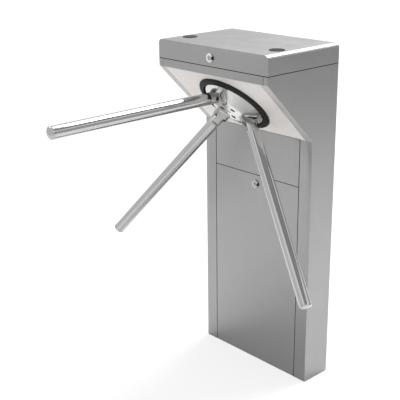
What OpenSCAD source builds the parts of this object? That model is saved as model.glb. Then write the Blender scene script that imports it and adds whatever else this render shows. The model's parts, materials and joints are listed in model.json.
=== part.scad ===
// Drop-arm tripod turnstile: a slim floor-standing cabinet with an overhanging head, and three
// tubes on a hub that turns about an axis square to the head's slanted face.
// X runs along the passage, the arms stand out towards -Y, Z is up. Origin: centre of the floor bolts.

/* [Cabinet] */
// Width of the cabinet along the passage
cabinet_w = 420; // [400:5:480]
// Depth of the column
column_depth = 100; // [96:2:130]
// Depth of the head over the passage
head_depth = 280; // [270:2:310]
// Height of the cabinet with its lid
cabinet_h = 1000; // [960:5:1060]
// Height of the lid
lid_h = 54; // [48:1:70]
// Radius of the lid's top edges at its two ends
lid_edge_r = 13; // [6:0.5:20]
// Height of the upright strip under the lid
fascia_h = 22.5; // [20:0.5:30]
// Angle of the slanted face from the floor
slope_angle = 45; // [44:0.25:46]
// Thickness of the cabinet sheet
sheet = 1.5; // [1.2:0.1:2]
// Thickness of the rear panel, which carries the electronics and the lid's hinges
rear_t = 2.5; // [1.5:0.25:3]
// Width of the side panels' returns on the column
column_margin = 44; // [36:1:52]
// Width of the side panels' returns on the slanted face
slope_margin = 24; // [18:1:30]
// Width of the side panels' returns beside the fascia
fascia_margin = 16; // [12:1:22]
// Gap between neighbouring panels
seam_gap = 0.8; // [0.5:0.1:0.9]

/* [Floor fixing] */
// Thickness of the base plate
base_t = 15; // [8:1:18]
// Distance of the anchor holes from the cabinet's ends
anchor_inset = 40; // [32:1:60]
// Distance of the anchor holes from the column's front and back
anchor_edge = 22; // [20:1:28]
// Radius of an anchor hole
anchor_r = 7; // [5:0.5:9]
// Radius of the cable entry in the base plate
cable_r = 22; // [15:1:26]

/* [Service door] */
// Height of the fixed front panel above the door
upper_panel_h = 139.5; // [100:0.5:180]
// Gap under the door
door_foot = 3; // [2:0.5:6]
// Distance of the door lock below the door's top edge
door_lock_drop = 28; // [24:1:60]

/* [Lid fittings] */
// Height of the lid lock above the seam
lid_lock_up = 24; // [20:1:28]
// Radius of an indicator lens
lens_r = 21; // [15:0.5:24]
// Distance of a lens from the cabinet's end
lens_inset = 44; // [38:1:80]
// Distance of a lens from the head's front
lens_back = 80; // [60:2:120]

/* [Hub] */
// Distance of the hub's centre below the middle of the slanted face
hub_shift = 2.5; // [0:0.5:6]
// Outer radius of the hub's cone
hub_r = 93; // [88:0.5:96]
// Radius of the flat in the middle of the hub
plateau_r = 48; // [42:0.5:52]
// Height of that flat above the slanted face
plateau_h = 29; // [26:0.5:31]
// Outer radius of the trim ring
ring_r = 112; // [106:0.5:114]
// Height of the trim ring
ring_h = 9; // [7:0.5:11]
// Radius of the circle of hub screws
hub_screw_pcr = 25; // [22:0.5:27]

/* [Arms] */
// Distance from the point where the arm axes meet to an arm's tip
arm_reach = 634.5; // [560:0.5:700]
// Outer radius of an arm tube
tube_r = 16.5; // [15:0.25:18]
// Wall of an arm tube
tube_wall = 1.2; // [1:0.1:2.5]
// Depth behind the slanted face at which the arm axes meet
apex_depth = 40.5; // [39:0.25:42]
// Distance along an arm from that point to its fold pin
pin_at = 110; // [109:0.5:113]
// Radius of a fold pin
pin_r = 4; // [3:0.25:5]
// Outer radius of an arm's fork
fork_r = 17; // [16.75:0.25:17.75]
// Thickness of the hub's tongue between the fork's cheeks
tongue_t = 20; // [16:0.5:22]

/* [Drive] */
// Radius of the main shaft
shaft_r = 15; // [12:0.5:16]
// Outer radius of a shaft bearing
bearing_r = 31; // [29:0.5:33]
// Width of a shaft bearing
bearing_w = 16; // [13:0.5:18]
// Radius of the index disc
index_r = 70; // [68:0.5:71]
// Number of stops on the index disc
stops = 6; // [6, 12]
// Tooth size of the damper gears
gear_module = 2.4; // [2.2:0.05:2.5]
// Teeth on the drive gear
gear_teeth = 45; // [44, 45, 46]
// Teeth on the damper pinion
pinion_teeth = 15; // [14, 15, 16]
// Width of the gears
gear_w = 10; // [6:0.5:10]

/* [Hidden] */

// Smoothness of round shapes, the overrun of every cut, and the clearances
$fn = 48;
over = 1;
fit_gap = 0.02;
run_gap = 0.06;
seat_gap = 0.3;
half = 1/2;
full_turn = 360;

// Planes of the cabinet
half_w = cabinet_w*half;
rear_y = column_depth*half;
front_y = -column_depth*half;
head_y = rear_y - head_depth;
seam_z = cabinet_h - lid_h;
fascia_z = seam_z - fascia_h;
overhang = head_depth - column_depth;
slope_z = fascia_z - overhang*tan(slope_angle);
slope_len = overhang/cos(slope_angle);
inner_x = half_w - sheet;
corner_rise = sheet*(1 - sin(slope_angle))/cos(slope_angle);
column_x = half_w - column_margin;
anchor_x = cabinet_w - 2*anchor_inset;
anchor_y = column_depth - 2*anchor_edge;
door_top = slope_z - upper_panel_h;
door_lock_z = door_top - door_lock_drop;
lens_x = half_w - lens_inset;
slope_x = half_w - slope_margin;
fascia_x = half_w - fascia_margin;
door_z = door_foot;
lip_depth = 21.5;
rear_lip = 14;

// Place and tilt of the hub
hub_up = slope_len*half - hub_shift;
hub_y = front_y - hub_up*cos(slope_angle);
hub_z = slope_z + hub_up*sin(slope_angle);
arm_spread = 90 - slope_angle;
arm_turns = [0, 120, 240];
hub_screw_turns = [30, 150, 270];

// Depths behind the slanted face, from the hub inwards
ring_lap = 2;
ring_wall = 4;
sleeve_depth = 6;
ring_seat_w = 13;
hole_r = ring_r - ring_seat_w;
hub_rim_h = 5;
hub_back = 4;
hub_wall = 6;
core_r = 34;
flange_t = 8;
flange_back = hub_back + flange_t;
shoulder_t = 6;
shoulder_back = flange_back + shoulder_t;
rail_clear = 2;
rail_front = sleeve_depth + rail_clear;
rail_t = 14;
rail_h = 30;
rail_wall = 1.5;
plate_front = rail_front + rail_t;
plate_t = 6;
plate_back = plate_front + plate_t;
bearing_gap = 22;
second_bearing = shoulder_back + bearing_w + bearing_gap;
housing_clear = 3;
housing_front = flange_back + housing_clear;
housing_lip = 4;
housing_back = second_bearing + bearing_w + housing_lip;
index_clear = 4;
index_front = housing_back + index_clear;
index_t = 10;
index_back = index_front + index_t;
lock_depth = index_front + index_t*half;
gear_clear = 8;
gear_front = index_back + gear_clear;
gear_back = gear_front + gear_w;
encoder_clear = 9;
encoder_front = gear_back + encoder_clear;
encoder_t = 1;
nut_t = 5;
shaft_back = encoder_front + encoder_t + nut_t;
shaft_clear = 1;
back_plate_front = shaft_back + shaft_clear;
back_plate_t = 4;
back_plate_back = back_plate_front + back_plate_t;

// Hub casting and its joints with the arms
boss_half_w = 20;
boss_half_h = 24;
boss_edge_r = 4;
boss_root = 34;
heel = 10;
cheek_chord = sqrt(fork_r*fork_r - tongue_t*tongue_t*half*half);
fork_swing = norm([heel, cheek_chord]);
swing_gap = 1.3;
boss_face = pin_at - fork_swing - swing_gap;
tongue_half_h = 12.5;
tongue_tip = 12.5;
slot_clear = 0.5;
slot_end = pin_at + tongue_tip + slot_clear;
slot_swing = norm([tongue_tip, tongue_half_h]) + slot_clear;
cheek_gap = 0.25;
pin_head_r = 5.5;
pin_head_t = 3;
pin_head_sink = 0.9;
pin_reach = fork_r - pin_head_t - pin_head_sink;
collar_lip = 0.5;
collar_end = slot_end + collar_lip;
collar_taper = 6;
tube_from = collar_end + collar_taper;
spigot_l = 30;
spigot_bore_r = 12;
spigot_floor = 4;
cap_h = 8;
cap_lip = 0.4;
cap_spigot = 8;
fork_bevel = 1.5;
hub_screw_r = 4;
hub_head_r = 6.5;
hub_head_t = 8;
hub_head_sink = 2;
socket_r = 3.4;
socket_depth = 4;

// Rod that frees the raised arm
rod_r = 5;
rod_front = 8;
rod_travel = 6;
drop_r = 17;
drop_l = 26;

// Frame of the mechanism
rail_off = 90;
plate_half_x = 166;
plate_half_y = rail_off + rail_h*half;
housing_wall = 9;
housing_r = bearing_r + housing_wall;
housing_flange_r = 58;
housing_flange_t = 8;
shoulder_step = 3;
shoulder_r = bearing_r - shoulder_step;
housing_screw_pcr = 48;
housing_screw_turns = [45, 135, 225, 315];
mech_screw_r = 4;
mech_head_r = 6.5;
mech_head_t = 6;
rail_screw_x = 120;
pillar_r = 7;
rivet_r = 3.5;
pillar_low_x = 58;
pillar_low_y = 78;
pillar_high_x = 78;
pillar_high_y = 42;
pillar_places = [[pillar_low_x, -pillar_low_y], [-pillar_low_x, -pillar_low_y],
    [pillar_high_x, pillar_high_y], [-pillar_high_x, pillar_high_y]];
pillar_edge = 10;

// Square tubes that stiffen the column's rear corners
upright_w = 25;
upright_wall = 2;
upright_drop = 12;

// Bearings
ball_r = 4.7;
ball_gap = 0.1;
ball_count = 9;
race_t = 5.4;
ball_pcr = (shaft_r + bearing_r)*half;

// Index disc and pawls
notch_depth = 8;
notch_w = 13;
pawl_t = 8;
pawl_gap = 1.3;
pawl_nose_w = 10;
pawl_pivot_off = 4;
pawl_pivot_x = index_r + pawl_pivot_off;
pawl_pivot_y = 45;
lever_off = 12;
link_x = pawl_pivot_x + lever_off;
lever_play = 1.5;
pawl_eye_r = 10;
post_r = 6;
post_foot_r = 8;
post_tail = 4;
lever_w = 10;
link_y = 20;
link_pin_r = 2.5;
link_pin_root = 0.5;
slot_gap = 0.3;
slot_l = 3;
nose_l = 9;
nose_flare = 2;
spring_wire_r = 0.8;
spring_turns = 4;
spring_pitch = 2.4;
spring_steps = 12;
spring_sides = 6;

// Locking solenoids
solenoid_off = 26;
solenoid_x = link_x + solenoid_off;
solenoid_l = 46;
solenoid_cap = 2;
solenoid_w = 28;
plunger_r = 6;
bracket_t = 2;
bracket_l = 40;
plunger_tail = 4;

// Damper gears: flank angle, play and tip heights as shares of the module
flank_angle = 25;
tooth_play = 0.2;
head_share = 1;
root_share = 1.25;
flank_steps = 4;
gear_hub_wall = 5;
gear_hub_r = shaft_r + gear_hub_wall;
damper_shaft_r = 5;
damper_r = 22;
damper_l = 22;
damper_sink = 12;
damper_hole_gap = 1;
damper_rim = 3;
gear_pitch_r = gear_module*gear_teeth*half;
pinion_pitch_r = gear_module*pinion_teeth*half;
pinion_heading = 270;
gear_distance = gear_pitch_r + pinion_pitch_r;
back_plate_half_x = pillar_high_x + pillar_edge;
back_plate_low = gear_distance + damper_r + damper_rim;
back_plate_high = pillar_high_y + pillar_edge;

// Shaft nut, across its corners, encoder and its sensor
nut_wall = 6;
nut_r = shaft_r + nut_wall;
encoder_r = 32;
encoder_slots = 12;
encoder_slot_w = 3;
encoder_slot_l = 5;
sensor_clear = 2;
sensor_in = nut_r + sensor_clear;
sensor_cap = 6;
sensor_out = encoder_r + sensor_cap;
sensor_half_w = 8;
sensor_front_gap = 3;
sensor_slot = 3;

// Lid hinges
knuckle_r = 4.5;
knuckle_off = 5;
knuckle_gap = 0.3;
hinge_pin_r = 2;
leaf_t = 2;
leaf_h = 22;
leaf_clear = 5;
hinge_l = 50;
hinge_mid_l = 20;
hinge_inset = 80;
hinge_x = half_w - hinge_inset;
hinge_places = [-hinge_x, hinge_x];

// Cam locks
lock_collar_r = 12;
lock_collar_t = 4;
lock_body_r = 9;
lock_plug_r = 6.5;
lock_body_l = 22;
cam_t = 2;
cam_w = 14;
lid_cam_l = 32;
door_cam_l = 38;
key_w = 2;
key_l = 8;
key_depth = 2;
plug_proud = 0.6;
door_lip = 12;

// Indicator lenses and boards
lens_rim = 2;
lens_proud = 1.2;
lens_sink = 3;
lens_board_t = 1.6;
lens_board_inset = 4;

// Electronics in the column
board_w = 200;
board_h = 140;
board_z = 320;
board_t = 1.6;
standoff_l = 10;
standoff_r = 4;
standoff_inset = 8;
relay = [16, 15, 20];
relay_count = 4;
relay_pitch = 26;
terminal = [150, 12, 14];
chip = [24, 3, 24];
cap_can_r = 6;
cap_can_l = 18;
coil_inset = 100;
coil_x = half_w - coil_inset;
coil_r = 43;
coil_h = 58;
coil_bore_r = 12;
coil_round = 10;
coil_plate_t = 3;
coil_bolt_r = 5;

// Colours
steel_grey = [0.60, 0.60, 0.60];
pale_steel = [0.84, 0.83, 0.82];
polished = [0.82, 0.82, 0.83];
dark = [0.15, 0.15, 0.16];
machined = [0.68, 0.69, 0.71];
brassy = [0.78, 0.66, 0.34];
board_green = [0.10, 0.36, 0.20];

// A block given by its low and high corners
module block(low, high) translate(low) cube(high - low);

// The hub's frame: its middle on the slanted face, +Z out along the hub's axis, +Y up the slope
module on_hub() translate([0, hub_y, hub_z]) rotate([180 - slope_angle, 0, 0]) children();

// A round piece on the hub's axis between two depths behind the slanted face
module disc(r, front, back) translate([0, 0, -back]) cylinder(r = r, h = back - front);

// An arm's frame: its origin where the arm axes meet, +Z along the arm, +X along its fold pin
module on_arm(i)
    on_hub() rotate([0, 0, arm_turns[i]]) translate([0, 0, -apex_depth])
        rotate([-arm_spread, 0, 0]) children();

// A cylinder along X, centred
module bar_x(r, l) rotate([0, 90, 0]) cylinder(r = r, h = l, center = true);

// Points of the cabinet's side, as Y and Z
function side_points() = [[rear_y, 0], [rear_y, seam_z], [head_y, seam_z], [head_y, fascia_z],
    [front_y, slope_z], [front_y, 0]];

// Bands of sheet along the cabinet's front, seen from the side
function fascia_band() = [[head_y, seam_z], [head_y, fascia_z], [head_y + sheet, fascia_z + corner_rise],
    [head_y + sheet, seam_z]];
function slope_band() = [[head_y, fascia_z], [front_y, slope_z], [front_y + sheet, slope_z + corner_rise],
    [head_y + sheet, fascia_z + corner_rise]];
function column_band(low, high) = [[front_y, low], [front_y + sheet, low], [front_y + sheet, high],
    [front_y, high]];

// A shape drawn in Y and Z, run along X from one place to another
module along_x(from, to) translate([from, 0, 0]) rotate([90, 0, 90]) linear_extrude(to - from) children();

// Side panel on the +X side: the web and its returns along the front
module side_panel() {
    along_x(inner_x, half_w) polygon(side_points());
    along_x(fascia_x, half_w) polygon(fascia_band());
    along_x(slope_x, half_w) polygon(slope_band());
    along_x(column_x, half_w)
        polygon([[front_y, slope_z], [front_y + sheet, slope_z + corner_rise], [front_y + sheet, 0],
            [front_y, 0]]);
    block([inner_x - rear_lip, rear_y - rear_t - sheet, base_t],
        [inner_x + fit_gap, rear_y - rear_t, seam_z]);
}

module left_side_panel() color(steel_grey) mirror([1, 0, 0]) side_panel();
module right_side_panel() color(steel_grey) side_panel();

module rear_panel() color(steel_grey) {
    block([-inner_x, rear_y - rear_t, 0], [inner_x, rear_y, seam_z]);
    for (x = [-board_w*half + standoff_inset, board_w*half - standoff_inset],
            z = [board_z + standoff_inset, board_z + board_h - standoff_inset])
        translate([x, rear_y - rear_t*half, z]) rotate([90, 0, 0])
            cylinder(r = standoff_r, h = standoff_l + rear_t*half);
}

// Upper front panel, with the lip that the door's lock catches
module upper_front_panel() color(steel_grey) {
    x = column_x - seam_gap;
    along_x(-x, x) polygon([[front_y, slope_z - seam_gap], [front_y + sheet, slope_z - seam_gap],
        [front_y + sheet, door_top + seam_gap], [front_y, door_top + seam_gap]]);
    block([-x, front_y, door_top + seam_gap], [x, front_y + lip_depth, door_top + seam_gap + sheet]);
}

module slanted_face_plate() color(pale_steel) {
    x = slope_x - seam_gap;
    difference() {
        along_x(-x, x) polygon(slope_band());
        on_hub() disc(hole_r, -over, sheet + over);
    }
}

module fascia() color(steel_grey) {
    x = fascia_x - seam_gap;
    along_x(-x, x) polygon(fascia_band());
    block([-x, head_y, seam_z - sheet], [x, head_y + lip_depth, seam_z]);
}

// Black ring round the hub: a sloped lip outside, and a sleeve through the hole in the face
module trim_ring() color(dark) on_hub() rotate_extrude()
    polygon([[hub_r + ring_lap, ring_h], [hub_r + ring_lap, -sleeve_depth], [hole_r - fit_gap, -sleeve_depth],
        [hole_r - fit_gap, 0], [ring_r, 0], [ring_r, ring_wall*half],
        [ring_r - ring_wall, ring_h - ring_wall*half], [hub_r + ring_lap + ring_wall, ring_h]]);

module base_plate() color(machined) difference() {
    block([-inner_x + fit_gap, front_y + sheet + seat_gap, 0],
        [inner_x - fit_gap, rear_y - rear_t - fit_gap, base_t]);
    for (x = [-anchor_x, anchor_x]*half, y = [-anchor_y, anchor_y]*half)
        translate([x, y, -over]) cylinder(r = anchor_r, h = base_t + 2*over);
    translate([0, 0, -over]) cylinder(r = cable_r, h = base_t + 2*over);
}

// Steel tubes inside the cabinet: two rails between the side panels, which carry the mechanism,
// and two uprights in the column's rear corners
module frame_tubes() color(machined) {
    on_hub() for (side = [-1, 1]) rail(side*rail_off);
    upright();
    mirror([1, 0, 0]) upright();
}

module rail(y) difference() {
    block([-inner_x, y - rail_h*half, -rail_front - rail_t], [inner_x, y + rail_h*half, -rail_front]);
    block([-inner_x - over, y - rail_h*half + rail_wall, -rail_front - rail_t + rail_wall],
        [inner_x + over, y + rail_h*half - rail_wall, -rail_front - rail_wall]);
    for (x = [-rail_screw_x, rail_screw_x]) translate([x, y, 0])
        disc(mech_screw_r + fit_gap, plate_front - rail_wall - over, plate_front + over);
}

module upright() {
    low = [inner_x - upright_w, rear_y - rear_t - sheet - upright_w];
    high = [inner_x, rear_y - rear_t - sheet];
    wall = [upright_wall, upright_wall];
    difference() {
        block([each low, base_t], [each high, seam_z - upright_drop]);
        block([each (low + wall), base_t - over], [each (high - wall), seam_z - upright_drop + over]);
    }
}

module mechanism_plate() color(machined) on_hub() difference() {
    block([-plate_half_x, -plate_half_y, -plate_back], [plate_half_x, plate_half_y, -plate_front]);
    disc(housing_r + fit_gap, plate_front - over, plate_back + over);
    for (x = [-rail_screw_x, rail_screw_x], y = [-rail_off, rail_off]) translate([x, y, 0])
        disc(mech_screw_r + fit_gap, plate_front - over, plate_back + over);
    for (turn = housing_screw_turns) rotate([0, 0, turn]) translate([housing_screw_pcr, 0, 0])
        disc(mech_screw_r + fit_gap, plate_front - over, plate_back + over);
}

module bearing_housing() color(machined) on_hub() difference() {
    union() {
        disc(housing_r, housing_front, housing_back);
        disc(housing_flange_r, plate_back, plate_back + housing_flange_t);
    }
    disc(bearing_r + fit_gap, housing_front - over, shoulder_back + bearing_w);
    disc(shoulder_r, housing_front, housing_back);
    disc(bearing_r + fit_gap, second_bearing, housing_back + over);
    for (turn = housing_screw_turns) rotate([0, 0, turn]) translate([housing_screw_pcr, 0, 0])
        disc(mech_screw_r + fit_gap, plate_back - over, plate_back + housing_flange_t + over);
}

// A ring of the bearing's section between two radii, with its ball groove
module race(inner, outer, front) difference() {
    disc(outer, front, front + bearing_w);
    disc(inner, front - over, front + bearing_w + over);
    translate([0, 0, -front - bearing_w*half]) rotate_extrude() translate([ball_pcr, 0])
        circle(r = ball_r + ball_gap);
}

module bearing_outer_races() color(polished) on_hub() for (front = [shoulder_back, second_bearing])
    race(bearing_r - race_t, bearing_r, front);

module bearing_inner_races() color(polished) on_hub() for (front = [shoulder_back, second_bearing])
    race(shaft_r + fit_gap, shaft_r + race_t, front);

module bearing_balls() color(machined) on_hub() for (front = [shoulder_back, second_bearing],
        i = [0:ball_count - 1])
    rotate([0, 0, full_turn*i/ball_count]) translate([ball_pcr, 0, -front - bearing_w*half])
        sphere(r = ball_r);

// Screws of the housing, and of the plate to the rails: head at the back, shank towards the hub
module mech_screw(seat, tip) difference() {
    union() {
        disc(mech_screw_r, tip, seat + fit_gap);
        disc(mech_head_r, seat, seat + mech_head_t);
    }
    disc(socket_r, seat + mech_head_t - socket_depth, seat + mech_head_t + over);
}

module mechanism_screws() color(dark) on_hub() {
    for (turn = housing_screw_turns) rotate([0, 0, turn]) translate([housing_screw_pcr, 0, 0])
        mech_screw(plate_back + housing_flange_t, plate_front);
    for (x = [-rail_screw_x, rail_screw_x], y = [-rail_off, rail_off]) translate([x, y, 0])
        mech_screw(plate_back, plate_front - rail_wall);
}

module plate_pillars() color(machined) on_hub() for (p = pillar_places) translate([p[0], p[1], 0]) {
    disc(pillar_r, plate_back, back_plate_front);
    disc(rivet_r, back_plate_front - over, back_plate_back);
}

module mechanism_back_plate() color(machined) on_hub() difference() {
    block([-back_plate_half_x, -back_plate_low, -back_plate_back],
        [back_plate_half_x, back_plate_high, -back_plate_front]);
    for (p = pillar_places) translate([p[0], p[1], 0])
        disc(rivet_r + fit_gap, back_plate_front - over, back_plate_back + over);
    disc(rod_r + run_gap, back_plate_front - over, back_plate_back + over);
    translate([0, -gear_distance, 0])
        disc(damper_shaft_r + damper_hole_gap, back_plate_front - over, back_plate_back + over);
}

module pawl_posts() color(machined) on_hub() for (side = [-1, 1])
    translate([side*pawl_pivot_x, -pawl_pivot_y, 0]) {
        disc(post_foot_r, plate_back, index_front + (index_t - pawl_t)*half - seat_gap);
        disc(post_r, index_front, index_back + post_tail);
    }

// Folded stand that holds a solenoid off the plate
module solenoid_bracket() {
    z_top = lock_depth - solenoid_w*half;
    difference() {
        block([solenoid_x + bracket_t, link_y - solenoid_w*half, -z_top],
            [solenoid_x + bracket_t + bracket_l, link_y + solenoid_w*half, -plate_back]);
        block([solenoid_x + 2*bracket_t, link_y - solenoid_w*half - over, -z_top + bracket_t],
            [solenoid_x + bracket_l, link_y + solenoid_w*half + over, -plate_back - bracket_t]);
    }
}

module solenoid_brackets() color(machined) on_hub() {
    solenoid_bracket();
    mirror([1, 0, 0]) solenoid_bracket();
}

module solenoid() difference() {
    block([solenoid_x, link_y - solenoid_w*half, -lock_depth - solenoid_w*half],
        [solenoid_x + solenoid_l, link_y + solenoid_w*half, -lock_depth + solenoid_w*half]);
    translate([solenoid_x - over, link_y, -lock_depth]) rotate([0, 90, 0])
        cylinder(r = plunger_r + run_gap, h = over + solenoid_l - solenoid_cap);
}

module locking_solenoids() color(dark) on_hub() {
    solenoid();
    mirror([1, 0, 0]) solenoid();
}

// Plunger: a rod in the solenoid, its end forked over the pawl, and the cross pin
module plunger() {
    end_x = link_x - link_pin_r - bracket_t;
    difference() {
        translate([end_x, link_y, -lock_depth]) rotate([0, 90, 0])
            cylinder(r = plunger_r, h = solenoid_x + solenoid_l - plunger_tail - end_x);
        block([end_x - over, link_y - plunger_r - over, -lock_depth - pawl_t*half - seat_gap],
            [link_x + lever_w*half + lever_play, link_y + plunger_r + over,
                -lock_depth + pawl_t*half + seat_gap]);
    }
    translate([link_x, link_y, -lock_depth])
        cylinder(r = link_pin_r, h = pawl_t + 2*(seat_gap + link_pin_root), center = true);
}

module entry_plunger() color(polished) on_hub() mirror([1, 0, 0]) plunger();
module exit_plunger() color(polished) on_hub() plunger();

// Pawl: an eye on its post, a nose that drops in the index disc, and a slot for the plunger's pin
module pawl() {
    nose_x = index_r + pawl_gap;
    difference() {
        translate([0, 0, -lock_depth - pawl_t*half]) {
            translate([pawl_pivot_x, -pawl_pivot_y, 0]) cylinder(r = pawl_eye_r, h = pawl_t);
            block([link_x - lever_w*half, -pawl_pivot_y, 0],
                [link_x + lever_w*half, link_y + slot_l + link_pin_r + bracket_t, pawl_t]);
            linear_extrude(pawl_t) polygon([[nose_x, -pawl_nose_w*half], [nose_x, pawl_nose_w*half],
                [nose_x + nose_l, pawl_nose_w*half + nose_flare], [link_x, pawl_nose_w*half + nose_flare],
                [link_x, -pawl_nose_w*half - nose_flare], [nose_x + nose_l, -pawl_nose_w*half - nose_flare]]);
        }
        translate([pawl_pivot_x, -pawl_pivot_y, 0])
            disc(post_r + run_gap, index_front - over, index_back + over);
        for (y = [link_y - slot_l*half, link_y + slot_l*half]) translate([link_x, y, 0])
            disc(link_pin_r + slot_gap, index_front - over, index_back + over);
        block([link_x - link_pin_r - slot_gap, link_y - slot_l*half, -index_back - over],
            [link_x + link_pin_r + slot_gap, link_y + slot_l*half, -index_front + over]);
    }
}

module entry_pawl() color(brassy) on_hub() mirror([1, 0, 0]) pawl();
module exit_pawl() color(brassy) on_hub() pawl();

// Coil spring, as one tube wound round Z from the origin upwards
module coil_spring(coil_r, wire_r, turns, pitch) {
    rings = turns*spring_steps;
    n = spring_sides;
    points = [for (i = [0:rings], j = [0:n - 1])
        let (a = full_turn*i/spring_steps, b = full_turn*j/n, r = coil_r + wire_r*cos(b))
            [r*cos(a), r*sin(a), pitch*i/spring_steps + wire_r*sin(b)]];
    walls = [for (i = [0:rings - 1], j = [0:n - 1]) let (k = (j + 1)%n)
        each [[i*n + j, (i + 1)*n + k, i*n + k], [i*n + j, (i + 1)*n + j, (i + 1)*n + k]]];
    ends = [for (j = [1:n - 2]) each [[0, j, j + 1], [rings*n, rings*n + j + 1, rings*n + j]]];
    polyhedron(points, concat(walls, ends));
}

// Return springs round the feet of the pawls' posts, just under the pawls
module pawl_springs() color(machined) on_hub() for (side = [-1, 1])
    translate([side*pawl_pivot_x, -pawl_pivot_y,
            -lock_depth + pawl_t*half + seat_gap + spring_wire_r])
        coil_spring(post_foot_r + spring_wire_r + seat_gap, spring_wire_r, spring_turns, spring_pitch);

module index_disc() color(machined) on_hub() difference() {
    disc(index_r, index_front, index_back);
    disc(shaft_r + fit_gap, index_front - over, index_back + over);
    for (i = [0:stops - 1]) rotate([0, 0, full_turn*i/stops])
        block([index_r - notch_depth, -notch_w*half, -index_back - over],
            [index_r + over, notch_w*half, -index_front + over]);
}

// Half the angle that a tooth spans at radius r, from its involute flank
function involute(a) = tan(a)*180/PI - a;
function half_tooth(teeth, r) = let (pitch_r = gear_module*teeth*half, base_r = pitch_r*cos(flank_angle))
    90/teeth - tooth_play*half/pitch_r*180/PI + involute(flank_angle) - involute(acos(min(1, base_r/r)));
function tooth_points(teeth) = let (
    pitch_r = gear_module*teeth*half,
    tip_r = pitch_r + head_share*gear_module,
    root_r = pitch_r - root_share*gear_module,
    start_r = max(pitch_r*cos(flank_angle), root_r),
    radii = [for (s = [0:flank_steps]) start_r + (tip_r - start_r)*s/flank_steps],
    root_half = half_tooth(teeth, start_r))
    [for (i = [0:teeth - 1]) let (mid = full_turn*i/teeth) each concat(
        [[root_r, mid - root_half]],
        [for (s = [0:flank_steps]) [radii[s], mid - half_tooth(teeth, radii[s])]],
        [for (s = [flank_steps:-1:0]) [radii[s], mid + half_tooth(teeth, radii[s])]],
        [[root_r, mid + root_half]])];
module gear_outline(teeth) polygon([for (p = tooth_points(teeth)) p[0]*[cos(p[1]), sin(p[1])]]);

// Drive gear, with the sleeves that space it from the index disc and the encoder
module drive_gear() color(machined) on_hub() difference() {
    union() {
        translate([0, 0, -gear_back]) linear_extrude(gear_w) gear_outline(gear_teeth);
        disc(gear_hub_r, index_back, encoder_front);
    }
    disc(shaft_r + fit_gap, index_back - over, encoder_front + over);
}

// Pinion and the damper shaft that it is cut on
module damper_pinion() color(machined) on_hub() translate([0, -gear_distance, 0]) {
    rotate([0, 0, pinion_turn()]) translate([0, 0, -gear_back])
        linear_extrude(gear_w) gear_outline(pinion_teeth);
    disc(damper_shaft_r, gear_front, back_plate_back + damper_sink);
}

// Turn that sets a gap of the pinion against the drive tooth nearest to the line of centres
function pinion_turn() = let (teeth_before = pinion_heading*gear_teeth/full_turn)
    90 + (teeth_before - floor(teeth_before) - half)*full_turn/pinion_teeth;

module damper_body() color(dark) on_hub() translate([0, -gear_distance, 0]) difference() {
    disc(damper_r, back_plate_back, back_plate_back + damper_l);
    disc(damper_shaft_r + run_gap, back_plate_back - over, back_plate_back + damper_sink + over);
}

module encoder_disc() color(dark) on_hub() difference() {
    disc(encoder_r, encoder_front, encoder_front + encoder_t);
    disc(shaft_r + fit_gap, encoder_front - over, encoder_front + encoder_t + over);
    for (i = [0:encoder_slots - 1]) rotate([0, 0, full_turn*i/encoder_slots])
        block([encoder_r - encoder_slot_l, -encoder_slot_w*half, -encoder_front - encoder_t - over],
            [encoder_r + over, encoder_slot_w*half, -encoder_front + over]);
}

module optical_sensor() color(dark) on_hub() difference() {
    block([-sensor_half_w, sensor_in, -back_plate_front],
        [sensor_half_w, sensor_out, -gear_back - sensor_front_gap]);
    block([-sensor_half_w - over, sensor_in - over, -encoder_front - encoder_t - sensor_slot*half],
        [sensor_half_w + over, encoder_r + encoder_slot_w, -encoder_front + sensor_slot*half]);
}

module shaft_nut() color(machined) on_hub() difference() {
    translate([0, 0, -shaft_back]) cylinder(r = nut_r, h = nut_t, $fn = 6);
    disc(shaft_r + fit_gap, encoder_front, shaft_back + over);
}

// Main shaft: flange under the hub, shoulder for the first bearing, hollow for the release rod
module main_shaft() color(machined) on_hub() difference() {
    union() {
        disc(core_r - fit_gap, hub_back, flange_back);
        disc(shaft_r + hub_wall*half, flange_back - over, shoulder_back);
        disc(shaft_r, shoulder_back - over, shaft_back);
    }
    disc(rod_r + run_gap, hub_back - over, shaft_back + over);
    hub_screw_places() disc(hub_screw_r + fit_gap, hub_back - over, flange_back + over);
}

module hub_screw_places() for (turn = hub_screw_turns) rotate([0, 0, turn])
    translate([hub_screw_pcr, 0, 0]) children();

// Rounded bar along Z, for the bosses
module rounded_bar(half_x, half_y, r, from, to) translate([0, 0, from]) linear_extrude(to - from) {
    square([2*half_x, 2*(half_y - r)], center = true);
    square([2*(half_x - r), 2*half_y], center = true);
    for (x = [-half_x + r, half_x - r], y = [-half_y + r, half_y - r])
        translate([x, y]) circle(r = r, $fn = 24);
}

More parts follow.
